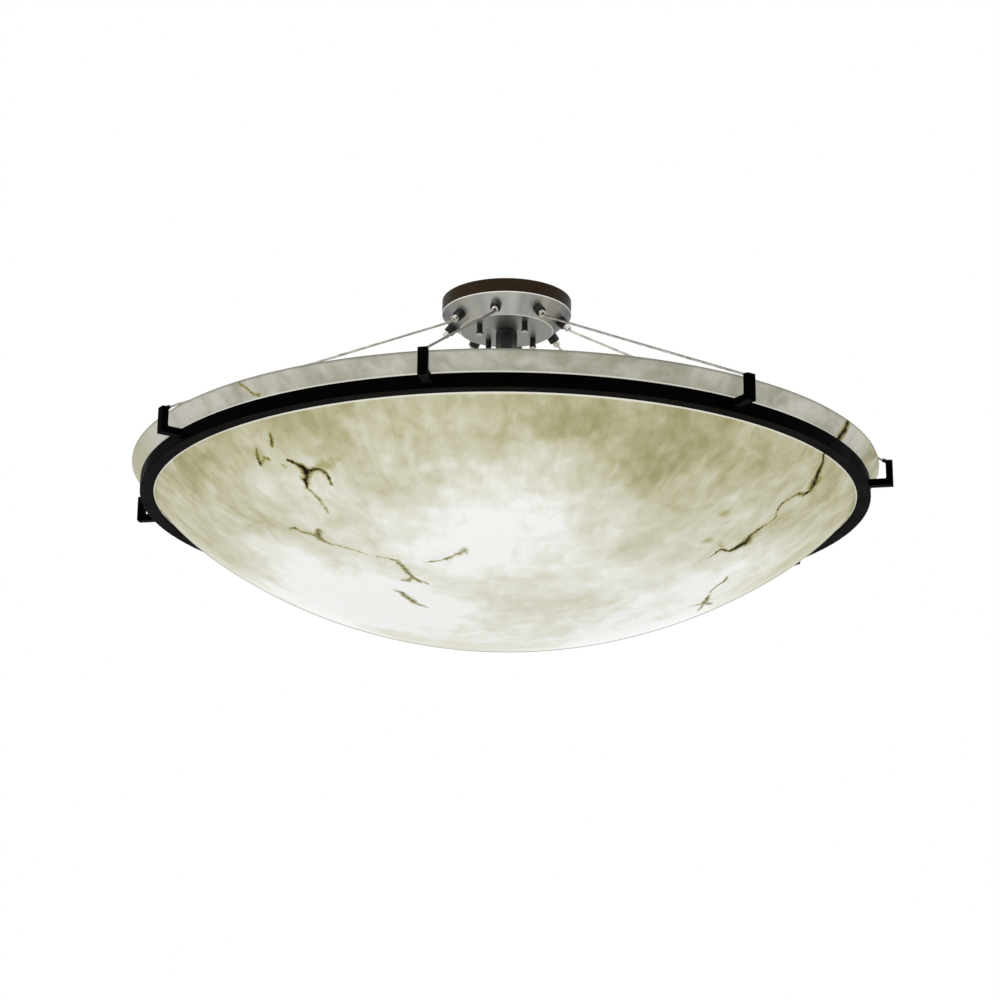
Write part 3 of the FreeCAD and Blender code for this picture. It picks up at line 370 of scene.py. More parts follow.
def makeDishSteel():
    material, tree, shader = newMaterial("brushedSteel")
    place = objectPlace(tree)
    height = apart(tree, place)["Z"]
    brushed = useGroup(tree, latheLines, Vector=place, Lines=dishLook["lines"])
    lines = brushed.outputs["Lines"]
    # Painted reflection: lighter and darker bands round the axis.
    colour = blendColour(tree, brushed.outputs["Sheen"], dishLook["colour"], dishLook["paintedDarkReflection"])
    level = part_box("canopy_dish")[0].z
    # Painted shade: the disc under the cone takes the darker colour.
    onCone = spread(tree, height, *(level + rise for rise in dishLook["coneFrom"]))
    colour = blendColour(tree, onCone, dishLook["disc"], colour)
    # Painted shade where the cone turns away from the camera.
    turned = math2(tree, "MULTIPLY", turnedAway(tree, *dishLook["paintedShadeSpan"]), onCone)
    colour = blendColour(tree, turned, colour, dishLook["turned"])
    # A painted highlight along the disc's edge and the cone's top.
    width = dishLook["edgeWidth"]
    offDisc = math2(tree, "SUBTRACT", offAxis(tree, place), dishLook["discRadius"])
    discHighlight = spread(tree, math2(tree, "ABSOLUTE", offDisc), width, 0.0)
    fromTop = math2(tree, "SUBTRACT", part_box("canopy_band")[0].z, height)
    edge = math2(tree, "MAXIMUM", discHighlight, spread(tree, fromTop, width * 1.5, width * 0.5))
    setInputs(tree, shader, {
        "Base Color": blendColour(tree, edge, colour, dishLook["edge"]),
        "Roughness": spread(tree, lines, *noiseSpan, *dishLook["rough"]),
        "Metallic": 1.0,
        "Anisotropic": dishLook["brush"],
        "Tangent": addNode(tree, "ShaderNodeTangent", direction_type="RADIAL", axis="Z").outputs[0],
    })
    bumpOn(tree, shader, lines, dishLook["depth"])
    return material


finishes["brushedSteel"] = makeDishSteel()


# The lamps: frosted globes, lit.
globeLook = {
    "colour": (0.93, 0.92, 0.88),
    "glow": (1.0, 0.97, 0.9),
    "dim": 0.92,
    "strength": 1.1,
    "rough": 0.4,
    "frost": (240.0, 3.0, 0.6),
    "depth": 0.00005,
}


def makeGlobe():
    material, tree, shader = newMaterial("litGlobe")
    frost = noiseOf(tree, objectPlace(tree), *globeLook["frost"])
    dimmed = [part * globeLook["dim"] for part in globeLook["glow"]]
    setInputs(tree, shader, {
        "Base Color": globeLook["colour"],
        "Emission Color": blendColour(tree, spread(tree, frost, *noiseSpan), globeLook["glow"], dimmed),
        "Emission Strength": globeLook["strength"],
        "Roughness": globeLook["rough"],
    })
    bumpOn(tree, shader, frost, globeLook["depth"])
    return material


finishes["litGlobe"] = makeGlobe()


# The bowl's section, as the source has it: a wide arc for the crown and a tighter one for the shoulder.
bowlForm = {
    "wall": 0.007,
    "crownRadius": 0.88,
    "shoulderRadius": 0.476,
    "rimLand": 0.004,  # the upright part under the rim
    "lipRound": 0.002,
    "lipSteps": 4,
    "crownSteps": 36,
    "shoulderSteps": 22,
    "innerShare": 0.7,  # of those steps, on the inner face
    "segments": 224,
    "weld": 1e-5,  # metres within which points are one
    "wave": 0.0005,  # the casting's unevenness
    "waveScale": 9.0,
    "waveFrom": 0.01,  # it leaves the lowest point as it is
}
rimRadius, rimLevel = bowlHigh.x, bowlHigh.z
crownCentre = Vector((0, 0, bowlLow.z + bowlForm["crownRadius"]))


def shoulderPlace():  # the centre of the shoulder's arc, where both arcs meet in a tangent
    gap = bowlForm["crownRadius"] - bowlForm["shoulderRadius"]
    drop = rimLevel - bowlForm["rimLand"] - crownCentre.z
    span = math.hypot(rimRadius, drop)
    along = (gap**2 - bowlForm["shoulderRadius"] ** 2 + span**2) / (2 * span)
    aside = math.sqrt(gap**2 - along**2)
    return Vector((
        (rimRadius * along + drop * aside) / span,
        0,
        crownCentre.z + (drop * along - rimRadius * aside) / span,
    ))


shoulderCentre = shoulderPlace()
joinAngle = math.atan2(shoulderCentre.x, crownCentre.z - shoulderCentre.z)


def seatOn(point, inset=0.0):  # the nearest place on the bowl's outer face, or inset under it
    out = math.hypot(point.x, point.y)
    if out < bowlForm["weld"]:
        return Vector((0, 0, bowlLow.z + inset))
    if math.atan2(out, crownCentre.z - point.z) < joinAngle:
        centre, radius = crownCentre, bowlForm["crownRadius"]
    else:
        share = shoulderCentre.x / out
        centre = Vector((point.x * share, point.y * share, shoulderCentre.z))
        radius = bowlForm["shoulderRadius"]
    return centre + (point - centre).normalized() * (radius - inset)


def spinVertex(mesh, vertex, centre, angle, steps):
    made = bmesh.ops.spin(
        mesh, geom=[vertex], cent=centre, axis=(0, -1, 0), dvec=(0, 0, 0), angle=angle,
        steps=steps, use_duplicate=False,
    )
    return made["geom_last"][0]


def drawTo(mesh, vertex, x, z):
    made = bmesh.ops.extrude_vert_indiv(mesh, verts=[vertex])["verts"][0]
    made.co = Vector((x, 0, z))
    return made


def angleAbout(centre, x, z):
    return math.atan2(x - centre.x, centre.z - z)


def spunBowl():
    mesh = bmesh.new()
    wall, lip = bowlForm["wall"], bowlForm["lipRound"]
    tip = mesh.verts.new((0, 0, bowlLow.z))
    tip = spinVertex(mesh, tip, crownCentre, joinAngle, bowlForm["crownSteps"])
    landLevel = rimLevel - bowlForm["rimLand"]
    sweep = angleAbout(shoulderCentre, rimRadius, landLevel) - joinAngle
    tip = spinVertex(mesh, tip, shoulderCentre, sweep, bowlForm["shoulderSteps"])
    tip = drawTo(mesh, tip, rimRadius, rimLevel - lip)
    steps = bowlForm["lipSteps"]
    tip = spinVertex(mesh, tip, Vector((rimRadius - lip, 0, rimLevel - lip)), math.pi / 2, steps)
    reach = bowlForm["shoulderRadius"] - wall
    innerX = shoulderCentre.x + math.sqrt(reach**2 - (rimLevel - shoulderCentre.z) ** 2)
    tip = drawTo(mesh, tip, innerX + lip / 2, rimLevel)
    tip = drawTo(mesh, tip, innerX, rimLevel - lip / 2)
    back = angleAbout(shoulderCentre, innerX, rimLevel - lip / 2) - joinAngle
    steps = round(bowlForm["shoulderSteps"] * bowlForm["innerShare"])
    tip = spinVertex(mesh, tip, shoulderCentre, -back, steps)
    steps = round(bowlForm["crownSteps"] * bowlForm["innerShare"])
    tip = spinVertex(mesh, tip, crownCentre, -joinAngle, steps)
    bmesh.ops.spin(
        mesh, geom=mesh.verts[:] + mesh.edges[:], cent=(0, 0, 0), axis=(0, 0, 1), dvec=(0, 0, 0),
        angle=math.tau, steps=bowlForm["segments"], use_merge=True, use_duplicate=False,
    )
    bmesh.ops.remove_doubles(mesh, verts=mesh.verts[:], dist=bowlForm["weld"])
    bmesh.ops.recalc_face_normals(mesh, faces=mesh.faces[:])
    return mesh


# The dark veins in the stone, as routes over the photograph. Each has a strength and then its points, with
# x and y in pixels and the vein's reach in mm.
veinRoutes = {
    "leftSprigTop": (0.78, (269, 433, 4), (271, 440, 5), (272, 447, 4)),
    "leftSprigLow": (0.80, (256, 448, 3), (257, 456, 6), (261, 465, 5), (264, 457, 4), (269, 459, 5)),
    "forkTrunk": (1.0, (287, 460, 4), (295, 463, 5), (302, 467, 8), (307, 472, 13), (304, 480, 10),
                  (306, 486, 5)),
    "forkLeg": (0.52, (306, 486, 5), (313, 493, 5), (319, 499, 6), (324, 507, 6), (327, 512, 4)),
    "forkBranch": (0.9, (307, 472, 11), (314, 469, 7), (320, 470, 7), (326, 474, 7), (329, 480, 4),
                   (332, 485, 3)),
    "forkSeed": (0.6, (282, 465, 4), (286, 467, 5)),
    "lowLeft": (0.59, (289, 529, 3), (296, 528, 5), (303, 532, 5), (312, 534, 6), (318, 537, 11),
                (325, 542, 5), (344, 547, 3), (358, 551, 4), (368, 555, 3)),
    "lowLeftSpur": (0.64, (318, 537, 9), (319, 531, 8)),
    "lowMiddle": (0.66, (377, 557, 3), (388, 558, 3), (397, 561, 6), (402, 565, 7), (407, 571, 9),
                  (412, 576, 6), (419, 581, 7), (428, 584, 3)),
    "lowMiddleSpur": (0.64, (403, 580, 6), (408, 580, 8), (412, 577, 5)),
    "lowestLeft": (0.62, (391, 589, 4), (402, 593, 8), (409, 598, 12), (415, 603, 9), (427, 607, 4)),
    "centreTwig": (0.56, (424, 562, 3), (439, 561, 4), (450, 557, 5), (458, 554, 8), (464, 550, 10),
                   (467, 553, 4)),
    "rightTop": (1.0, (848, 421, 12), (845, 430, 16), (839, 438, 14), (831, 446, 7), (824, 454, 5),
                 (823, 462, 6), (819, 473, 11), (815, 482, 19), (811, 490, 11), (805, 494, 7)),
    "rightMiddle": (0.78, (805, 494, 6), (799, 493, 6), (792, 497, 5), (783, 503, 4), (778, 509, 4),
                    (777, 516, 3), (769, 523, 4), (758, 530, 7)),
    "rightNode": (0.95, (758, 530, 8), (751, 535, 11), (746, 542, 20), (737, 547, 12), (729, 551, 5),
                  (720, 550, 4), (716, 553, 4), (708, 558, 3)),
    "lowRight": (0.70, (727, 577, 5), (724, 582, 7), (720, 584, 6), (712, 591, 4), (708, 597, 6),
                 (704, 603, 11), (711, 604, 7)),
    "lowRightTail": (0.7, (704, 603, 8), (699, 610, 5)),
    "lowRightWisp": (0.7, (704, 603, 7), (688, 607, 3)),
    "leftBand": (0.68, (239, 382, 4), (246, 388, 4), (254, 394, 5), (259, 395, 5)),
}
stainRoutes = {  # the wide olive stains beside the veins
    "forkSmear": (1.0, (316, 470, 12), (322, 467, 16), (331, 462, 18), (340, 457, 12)),
    "forkStain": (0.6, (300, 466, 16), (307, 474, 22), (305, 486, 14)),
    "rightLoop": (1.0, (722, 513, 6), (730, 513, 6), (732, 520, 8), (724, 524, 6)),
    "rightCrumbs": (0.85, (701, 542, 7), (708, 539, 9), (717, 541, 9), (722, 547, 7)),
    "rightStain": (0.7, (757, 533, 14), (746, 543, 24), (734, 549, 15)),
    "lowLeftStain": (0.6, (262, 519, 10), (248, 530, 12)),
    "lowLeftHalo": (0.5, (300, 530, 10), (319, 536, 16), (330, 544, 9)),
    "lowMiddleHalo": (0.5, (398, 562, 9), (408, 573, 14), (420, 582, 10)),
    "lowWisp": (0.7, (670, 614, 6), (653, 621, 6)),
}
backTurns = (137, 214)  # degrees: the unseen side has turned copies of the same veins
backFrom = 0.16  # metres behind the axis, where they start
veinDetail = {
    "bands": (0.010, 0.005, 0.0025),  # how far beside a vein the faces are halved, round by round
    "jitter": 0.0030,  # metres aside, so that the veins are ragged
    "jitterScale": 60.0,
    "fine": 0.0014,
    "fineScale": 260.0,
    "veinSway": 1.0,
    "stainSway": 1.3,
}


def castRoutes(routes, tree, turns):
    placed = []
    eye = camera.matrix_world.translation
    for strength, *route in routes.values():
        points = []
        for x, y, reach in route:
            hit = tree.ray_cast(eye, throughPixel(x, y))[0]
            points.append((hit, reach / 1000))
        for turn in (0, *turns):
            spun = Matrix.Rotation(math.radians(turn), 3, "Z")
            for (a, reachA), (b, reachB) in zip(points, points[1:]):
                a, b = spun @ a, spun @ b
                if turn == 0 or min(a.y, b.y) > backFrom:
                    placed.append((a, b, reachA, reachB, strength))
    return placed


def treeOf(points):
    tree = KDTree(len(points))
    for number, point in enumerate(points):
        tree.insert(point, number)
    tree.balance()
    return tree


def besideSegment(tree, segment, margin):
    start, stop, reachA, reachB, _ = segment
    span = (stop - start).length / 2 + max(reachA, reachB) + margin
    return tree.find_range((start + stop) / 2, span)


def veinDepths(points, segments):  # by point: 1 in the middle of a vein, nothing outside its reach
    tree = treeOf(points)
    depths = {}
    for segment in segments:
        start, stop, reachA, reachB, strength = segment
        along = stop - start
        for place, number, _ in besideSegment(tree, segment, 0.0):
            share = max(0.0, min(1.0, (place - start).dot(along) / along.length_squared))
            gap = (place - start - along * share).length
            depth = strength * (1 - gap / (reachA + (reachB - reachA) * share))
            if depth > depths.get(number, 0.0):
                depths[number] = depth
    return depths


def refineAlong(mesh, segments):  # smaller faces along the veins, set back onto the bowl's true faces
    for band in veinDetail["bands"]:
        faces = mesh.faces[:]
        tree = treeOf([face.calc_center_median() for face in faces])
        chosen = {number for s in segments for _, number, _ in besideSegment(tree, s, band)}
        edges = list({edge for number in chosen for edge in faces[number].edges})
        before = set(mesh.verts)
        bmesh.ops.subdivide_edges(mesh, edges=edges, cuts=1, use_grid_fill=True)
        for vertex in mesh.verts:
            if vertex in before:
                continue
            onOuter, onInner = seatOn(vertex.co), seatOn(vertex.co, bowlForm["wall"])
            outerGap, innerGap = (vertex.co - onOuter).length, (vertex.co - onInner).length
            if min(outerGap, innerGap) < bowlForm["wall"] / 4:
                vertex.co = onOuter if outerGap < innerGap else onInner


def roughen(point, share):
    place = point * veinDetail["jitterScale"]
    fine = point * veinDetail["fineScale"]
    sway = noise.noise_vector(place) * veinDetail["jitter"]
    return (sway + noise.noise_vector(fine) * veinDetail["fine"]) * share


def writeDepths(mesh, name, segments, share):
    layer = mesh.verts.layers.float.new(name)
    mesh.verts.ensure_lookup_table()
    seats = [seatOn(vertex.co) for vertex in mesh.verts]
    points = [seat + roughen(seat, share) for seat in seats]
    for number, depth in veinDepths(points, segments).items():
        mesh.verts[number][layer] = depth


def makeBowl():
    mesh = spunBowl()
    tree = BVHTree.FromBMesh(mesh)
    veins = castRoutes(veinRoutes, tree, backTurns)
    stains = castRoutes(stainRoutes, tree, backTurns)
    refineAlong(mesh, veins)
    bmesh.ops.triangulate(mesh, faces=[face for face in mesh.faces if len(face.verts) > 4])
    writeDepths(mesh, "vein", veins, veinDetail["veinSway"])
    writeDepths(mesh, "stain", stains, veinDetail["stainSway"])
    for vertex in mesh.verts:
        wave = noise.noise(vertex.co * bowlForm["waveScale"]) * bowlForm["wave"]
        out = Vector((vertex.co.x, vertex.co.y, 0))
        if out.length > bowlForm["waveFrom"]:
            vertex.co += out.normalized() * (wave - bowlForm["wave"])
    data = bpy.data.meshes.new("bowlStone")
    mesh.to_mesh(data)
    mesh.free()
    data.shade_smooth()
    bowl = bpy.data.objects.new("bowlStone", data)
    bpy.context.scene.collection.objects.link(bowl)
    return bowl, tree


bowl, bowlTree = makeBowl()
print("bowl made:", len(bowl.data.polygons), "faces")


# The stone: pale clouds and olive patches, with a painted glow from inside in pools, and dark veins cast
# in. A span says where a smooth step starts and stops, and sometimes its first and last value.
stoneNoise = {  # scale, detail, roughness and distortion
    "drift": (13.0, 4.0),
    "clouds": (5.0, 3.0, 0.55),
    "petals": (19.0, 4.0, 0.56, 0.5),
    "grain": (80.0, 2.5, 0.55, 0.2),
    "strokes": (34.0, 3.0, 0.6),
    "streaks": (34.0, 4.0, 0.6, 0.8),
    "crumble": (260.0, 4.0, 0.65),
    "breaks": (55.0, 2.0, 0.5),
}
stoneLook = {
    "tones": (  # from the darkest olive to where the lamps shine through
        (0.0, (0.345, 0.322, 0.160)),
        (0.2, (0.455, 0.432, 0.255)),
        (0.45, (0.600, 0.582, 0.430)),
        (0.75, (0.755, 0.748, 0.650)),
        (1.0, (0.905, 0.905, 0.880)),
    ),
    "paintedGlowLevels": (0.27, 0.74),  # painted glow: the tone by the ring and at the bottom
    "drift": 0.05,
    "clouds": 0.95,
    "petals": 0.72,
    "grain": 0.14,
    "cells": 0.16,
    "cellScale": 42.0,
    "strokes": 0.40,  # fine strokes that run in towards the bottom
    "strokeRatio": 0.5,
    "strokeSpan": (0.26, 0.5),  # metres from the axis
    "reflected": 0.38,  # the share of the colour that is the stone's own, and not its glow
    # the strength of the stone's painted glow
    "glow": 0.62,
    "rough": (0.2, 0.8, 0.28, 0.40),  # over the petals
    "veinRough": 0.8,
    "specular": 0.12,
    "depth": 0.0004,
}
bandLook = {  # the band of stone above the ring
    "colour": (0.330, 0.318, 0.240),
    "pale": (0.545, 0.530, 0.465),
    "clouds": 3.0,
    "petals": 2.4,
    "streaks": 1.4,
    "paintedLightSides": (0.15, 0.4, 0.25, 0.5),  # painted light over the lamps, metres beside the axis
    # painted light on the left
    "paintedLightLeft": (-0.2, -0.42, 0.0, 0.35),
    "olive": 2.4,  # the ends, where the stone's own tones come back
    "oliveSides": (0.53, 0.6, 0.0, 0.85),
    # painted shade at the far left end
    "paintedShadeLeft": (-0.5, -0.58, 0.0, 0.4),
}
edgeLook = {
    "gleam": (0.86, 0.85, 0.76),  # a painted line of light where the stone meets the metal
    "padInner": 0.5736,  # the inner radius of the pad
    "hidden": 0.0060,  # in front, the flange hides the first few mm: this share of the way along Y
    "underSpan": (0.0028, 0.0014, 0.0, 0.8),  # metres inside the pad
    "overSpan": (0.0045, 0.003, 0.0, 0.75),  # metres above the ring
    "outside": (-0.02, -0.08),  # the normal's Z, negative on the outer face only
    # painted shade along the rim's top edge
    "paintedRimShade": (0.15, 0.145, 0.12),
    "rimSpan": (0.0055, 0.0012, 0.0, 0.85),  # metres below the rim
    # painted shade where the bowl turns away from the camera
    "turned": (0.10, 0.095, 0.06),
    "paintedShadeSpan": (0.925, 0.97, 0.0, 0.85),
}
veinLook = {
    "colour": (0.006, 0.003, 0.0),
    "edge": (0.165, 0.136, 0.020),
    "stain": (0.325, 0.298, 0.055),
    "crumble": 0.9,
    "breaks": 0.7,
    "raggedSpan": (0.0, 0.22),
    "haloSpan": (0.02, 0.4, 0.0, 0.6),
    "stainPetals": 2.4,
    "stainBreaks": 3.4,
    "stainSpan": (0.06, 1.1, 0.0, 0.75),
    "edgeSpan": (0.32, 0.6, 0.0, 0.85),
    "coreSpan": (0.58, 0.85),
}
lightPools = {  # pools of painted light: pixels of the photograph, the reach in metres and the strength
    "middle": (530, 522, 0.20, 0.48),
    "middleLeft": (440, 530, 0.17, 0.36),
    "left": (365, 590, 0.21, 0.42),
    "farLeft": (285, 570, 0.16, 0.30),
    "lowLeft": (430, 625, 0.20, 0.18),
    "right": (705, 590, 0.17, 0.38),
    "lowRight": (630, 570, 0.16, 0.10),
    "rightEdge": (770, 560, 0.13, 0.20),
    "upperLeft": (300, 480, 0.13, 0.14),
    "upperMiddle": (390, 450, 0.14, 0.16),
    "underOlive": (540, 455, 0.12, 0.12),
}
olivePools = {
    "topLeft": (300, 418, 0.11, 0.20),
    "topRight": (600, 425, 0.12, 0.22),
    "topFarRight": (690, 435, 0.14, 0.26),
    "underRight": (640, 475, 0.10, 0.16),
    "underFarRight": (730, 480, 0.12, 0.14),
    "leftEdge": (190, 470, 0.12, 0.22),
    "rightEdge": (810, 500, 0.10, 0.12),
    "low": (640, 535, 0.07, 0.06),
}
ringLow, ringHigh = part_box("ring")


def poolSum(tree, place, pools):
    masks = []
    eye = camera.matrix_world.translation
    for x, y, reach, strength in pools.values():
        centre = bowlTree.ray_cast(eye, throughPixel(x, y))[0]
        for turn in (0, 180):  # the same pools on the side away from the photograph
            spun = Matrix.Rotation(math.radians(turn), 3, "Z") @ centre
            mask = useGroup(tree, pool, Vector=place, Centre=spun, Reach=reach).outputs["Mask"]
            masks.append(math2(tree, "MULTIPLY", mask, strength))
    return addUp(tree, *masks)


def tonesOf(tree, value):
    node = addNode(tree, "ShaderNodeValToRGB")
    stops = node.color_ramp.elements
    for number, (position, colour) in enumerate(stoneLook["tones"]):
        stop = stops[number] if number < 2 else stops.new(position)
        stop.position, stop.color = position, (*colour, 1.0)
    tree.links.new(value, node.inputs[0])
    return node.outputs[0]


def noiseNamed(tree, vector, name, output="Fac"):
    return noiseOf(tree, vector, *stoneNoise[name], output=output)


def centred(tree, value, strength):
    return math2(tree, "MULTIPLY", math2(tree, "SUBTRACT", value, 0.5), strength)


def bodyTone(tree, moved, height, clouds, petals):
    grain = noiseNamed(tree, moved, "grain")
    cells = addNode(tree, "ShaderNodeTexVoronoi", feature="SMOOTH_F1")
    setInputs(tree, cells, {"Vector": moved, "Scale": stoneLook["cellScale"], "Smoothness": 0.5})
    away = vectorMath(tree, "NORMALIZE", vectorMath(tree, "MULTIPLY", moved, (1, 1, 0)))
    out = offAxis(tree, moved)
    radial = vectorMath(tree, "MULTIPLY_ADD", out, (0, 0, stoneLook["strokeRatio"]), away)
    strokes = centred(tree, noiseNamed(tree, radial, "strokes"), stoneLook["strokes"])
    # The stone's own strokes, clouds, petals, grain and cells, with painted glow by height and in pools.
    tone = addUp(
        tree,
        spread(tree, height, ringLow.z, bowlLow.z, *stoneLook["paintedGlowLevels"]),
        math2(tree, "MULTIPLY", strokes, spread(tree, out, *stoneLook["strokeSpan"])),
        centred(tree, clouds, stoneLook["clouds"]),
        centred(tree, petals, stoneLook["petals"]),
        centred(tree, grain, stoneLook["grain"]),
        centred(tree, cells.outputs["Distance"], -stoneLook["cells"]),
        poolSum(tree, moved, lightPools),
    )
    return math2(tree, "SUBTRACT", tone, poolSum(tree, moved, olivePools))


def bandColour(tree, place, x, clouds, petals):
    side = math2(tree, "ABSOLUTE", x)
    # The stone's own clouds, petals and streaks, with painted light beside the axis and on the left.
    pale = addUp(
        tree,
        centred(tree, clouds, bandLook["clouds"]),
        centred(tree, petals, bandLook["petals"]),
        spread(tree, side, *bandLook["paintedLightSides"]),
        centred(tree, noiseNamed(tree, place, "streaks"), bandLook["streaks"]),
        spread(tree, x, *bandLook["paintedLightLeft"]),
    )
    band = blendColour(tree, pale, bandLook["colour"], bandLook["pale"])
    olive = centred(tree, petals, bandLook["olive"])
    # Painted shade at the band's far left end.
    olive = tonesOf(tree, math2(tree, "SUBTRACT", olive, spread(tree, x, *bandLook["paintedShadeLeft"])))
    return blendColour(tree, spread(tree, side, *bandLook["oliveSides"]), band, olive)


def gleamLines(tree, place, y, height):  # painted lines of light under the flange and over the ring, on the outer face only
    outside = spread(tree, normalZ(tree), *edgeLook["outside"])
    under = math2(tree, "SUBTRACT", edgeLook["padInner"], offAxis(tree, place))
    hidden = math2(tree, "MULTIPLY", math2(tree, "ABSOLUTE", y), edgeLook["hidden"])
    under = spread(tree, math2(tree, "SUBTRACT", under, hidden), *edgeLook["underSpan"])
    over = spread(tree, math2(tree, "SUBTRACT", height, ringHigh.z), *edgeLook["overSpan"])
    return math2(tree, "MULTIPLY", under, outside), math2(tree, "MULTIPLY", over, outside)


def addVeins(tree, place, stone, petals):  # gives the colour and where the veins' cores are
    vein = addNode(tree, "ShaderNodeAttribute", attribute_name="vein").outputs["Fac"]
    stain = addNode(tree, "ShaderNodeAttribute", attribute_name="stain").outputs["Fac"]
    breaks = noiseNamed(tree, place, "breaks")
    crumble = centred(tree, noiseNamed(tree, place, "crumble"), veinLook["crumble"])
    crumble = addUp(tree, crumble, centred(tree, breaks, veinLook["breaks"]))
    inside = spread(tree, vein, *veinLook["raggedSpan"])
    ragged = addUp(tree, vein, math2(tree, "MULTIPLY", crumble, inside))
    crumbs = centred(tree, petals, veinLook["stainPetals"])
    crumbs = addUp(tree, crumbs, centred(tree, breaks, veinLook["stainBreaks"]))
    stain = addUp(tree, stain, math2(tree, "MULTIPLY", crumbs, stain))
    halo = spread(tree, ragged, *veinLook["haloSpan"])
    halo = math2(tree, "MAXIMUM", halo, spread(tree, stain, *veinLook["stainSpan"]))
    core = spread(tree, ragged, *veinLook["coreSpan"])
    stone = blendColour(tree, halo, stone, veinLook["stain"])
    stone = blendColour(tree, spread(tree, ragged, *veinLook["edgeSpan"]), stone, veinLook["edge"])
    return blendColour(tree, core, stone, veinLook["colour"]), core


def makeStone():
    material, tree, shader = newMaterial("litStone")
    place = objectPlace(tree)
    x, y, height = apart(tree, place)
    drift = noiseNamed(tree, place, "drift", "Color")
    moved = vectorMath(tree, "MULTIPLY_ADD", drift, [stoneLook["drift"]] * 3, place)
    moved = vectorMath(tree, "SUBTRACT", moved, [stoneLook["drift"] / 2] * 3)
    clouds, petals = noiseNamed(tree, moved, "clouds"), noiseNamed(tree, moved, "petals")
    underLine, overLine = gleamLines(tree, place, y, height)
    stone = tonesOf(tree, bodyTone(tree, moved, height, clouds, petals))
    stone = blendColour(tree, underLine, stone, edgeLook["gleam"])
    band = blendColour(tree, overLine, bandColour(tree, place, x, clouds, petals), edgeLook["gleam"])
    stone = blendColour(tree, spread(tree, height, ringLow.z, ringHigh.z), stone, band)
    stone, core = addVeins(tree, place, stone, petals)
    # Painted shade along the rim's top edge.
    paintedRimShade = spread(tree, math2(tree, "SUBTRACT", rimLevel, height), *edgeLook["rimSpan"])
    stone = blendColour(tree, paintedRimShade, stone, edgeLook["paintedRimShade"])
    # Painted shade where the bowl turns away from the camera.
    stone = blendColour(tree, turnedAway(tree, *edgeLook["paintedShadeSpan"]), stone, edgeLook["turned"])
    own = addNode(tree, "ShaderNodeMix", data_type="RGBA", blend_type="MULTIPLY")
    setInputs(tree, own, {"Factor": 1.0, "A": stone, "B": [stoneLook["reflected"]] * 3})
    rough = spread(tree, petals, *stoneLook["rough"])
    veinRough = math2(tree, "MULTIPLY", core, stoneLook["veinRough"])
    # The stone glows by emission in its own colour: painted light from the lamps inside.
    setInputs(tree, shader, {
        "Base Color": own.outputs["Result"],
        "Emission Color": stone,
        "Emission Strength": stoneLook["glow"],
        "Roughness": math2(tree, "MAXIMUM", rough, veinRough),
        "Specular IOR Level": stoneLook["specular"],
    })
    bumpOn(tree, shader, petals, stoneLook["depth"])
    return material


finishes["litStone"] = makeStone()
bowl.data.materials.append(finishes["litStone"])
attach(bowl, "fixture")
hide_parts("bowl")
print("stone made")


# The cables: seven-strand wire rope, straight out of the grip, through one bend and over the rim.
cableForm = {
    "count": 8,
    "first": -10.8,  # degrees from the near side towards +X
    "grip": (0.0920, -0.03948),  # how far out and how high, on the canopy's cone
    "normal": (0.67291, -0.73972),  # out of the cone
    "run": (0.89463, -0.44681),  # from the bend to the bracket
    "tail": 0.026,  # inside the grip
    "toBend": 0.0265,
    "bendRadius": 0.024,
    "bendSteps": 8,
    "end": (0.62771, -0.31773),
    "diameter": 0.004,
    "strands": 6,  # round a seventh
    "lay": 0.027,  # the length of a strand's full turn
    "turnSteps": 14,
    "coreEvery": 6,  # the steps between two points of the seventh strand
    "pathEvery": 8,  # and of the cord's path
    "colour": (0.84, 0.82, 0.77),
    "groove": (0.42, 0.39, 0.34),
    # painted shade along the rope's edges, where they turn from the camera
    "edges": (0.050, 0.034, 0.018),
    "edgeSpan": (0.3, 0.7, 0.0, 0.92),
    "rough": (0.28, 0.42),
    "grain": 1800.0,
    "smudge": 60.0,
}


def cableRoute():  # the cable's middle line in the plane of the near side
    def at(pair):
        return Vector((0, -pair[0], pair[1]))

    grip, normal, run = at(cableForm["grip"]), at(cableForm["normal"]), at(cableForm["run"])
    bend = grip + normal * cableForm["toBend"]
    turn = normal.angle(run)
    lead = cableForm["bendRadius"] * math.tan(turn / 2)
    start, axis = bend - normal * lead, normal.cross(run).normalized()
    centre = start + axis.cross(normal) * cableForm["bendRadius"]
    arc = [
        centre + Matrix.Rotation(turn * step / cableForm["bendSteps"], 3, axis) @ (start - centre)
        for step in range(cableForm["bendSteps"] + 1)
    ]
    return grip, [grip - normal * cableForm["tail"], *arc, at(cableForm["end"])]


def walkAlong(points, step):  # even steps along a route, each with the direction there
    legs = [(b - a).length for a, b in zip(points, points[1:])]
    length = sum(legs)
    count = round(length / step)
    walked, number, passed = [], 0, 0.0
    for index in range(count + 1):
        goal = length * index / count
        while number < len(legs) - 1 and passed + legs[number] < goal:
            passed += legs[number]
            number += 1
        ahead = (points[number + 1] - points[number]).normalized()
        walked.append((points[number] + ahead * (goal - passed), ahead))
    return walked, length


def addStrand(curve, points):
    spline = curve.splines.new("POLY")
    spline.points.add(len(points) - 1)
    for target, point in zip(spline.points, points):
        target.co = (*point, 1.0)


def thinned(walked, every):
    return [place for place, _ in walked[::every]] + [walked[-1][0]]


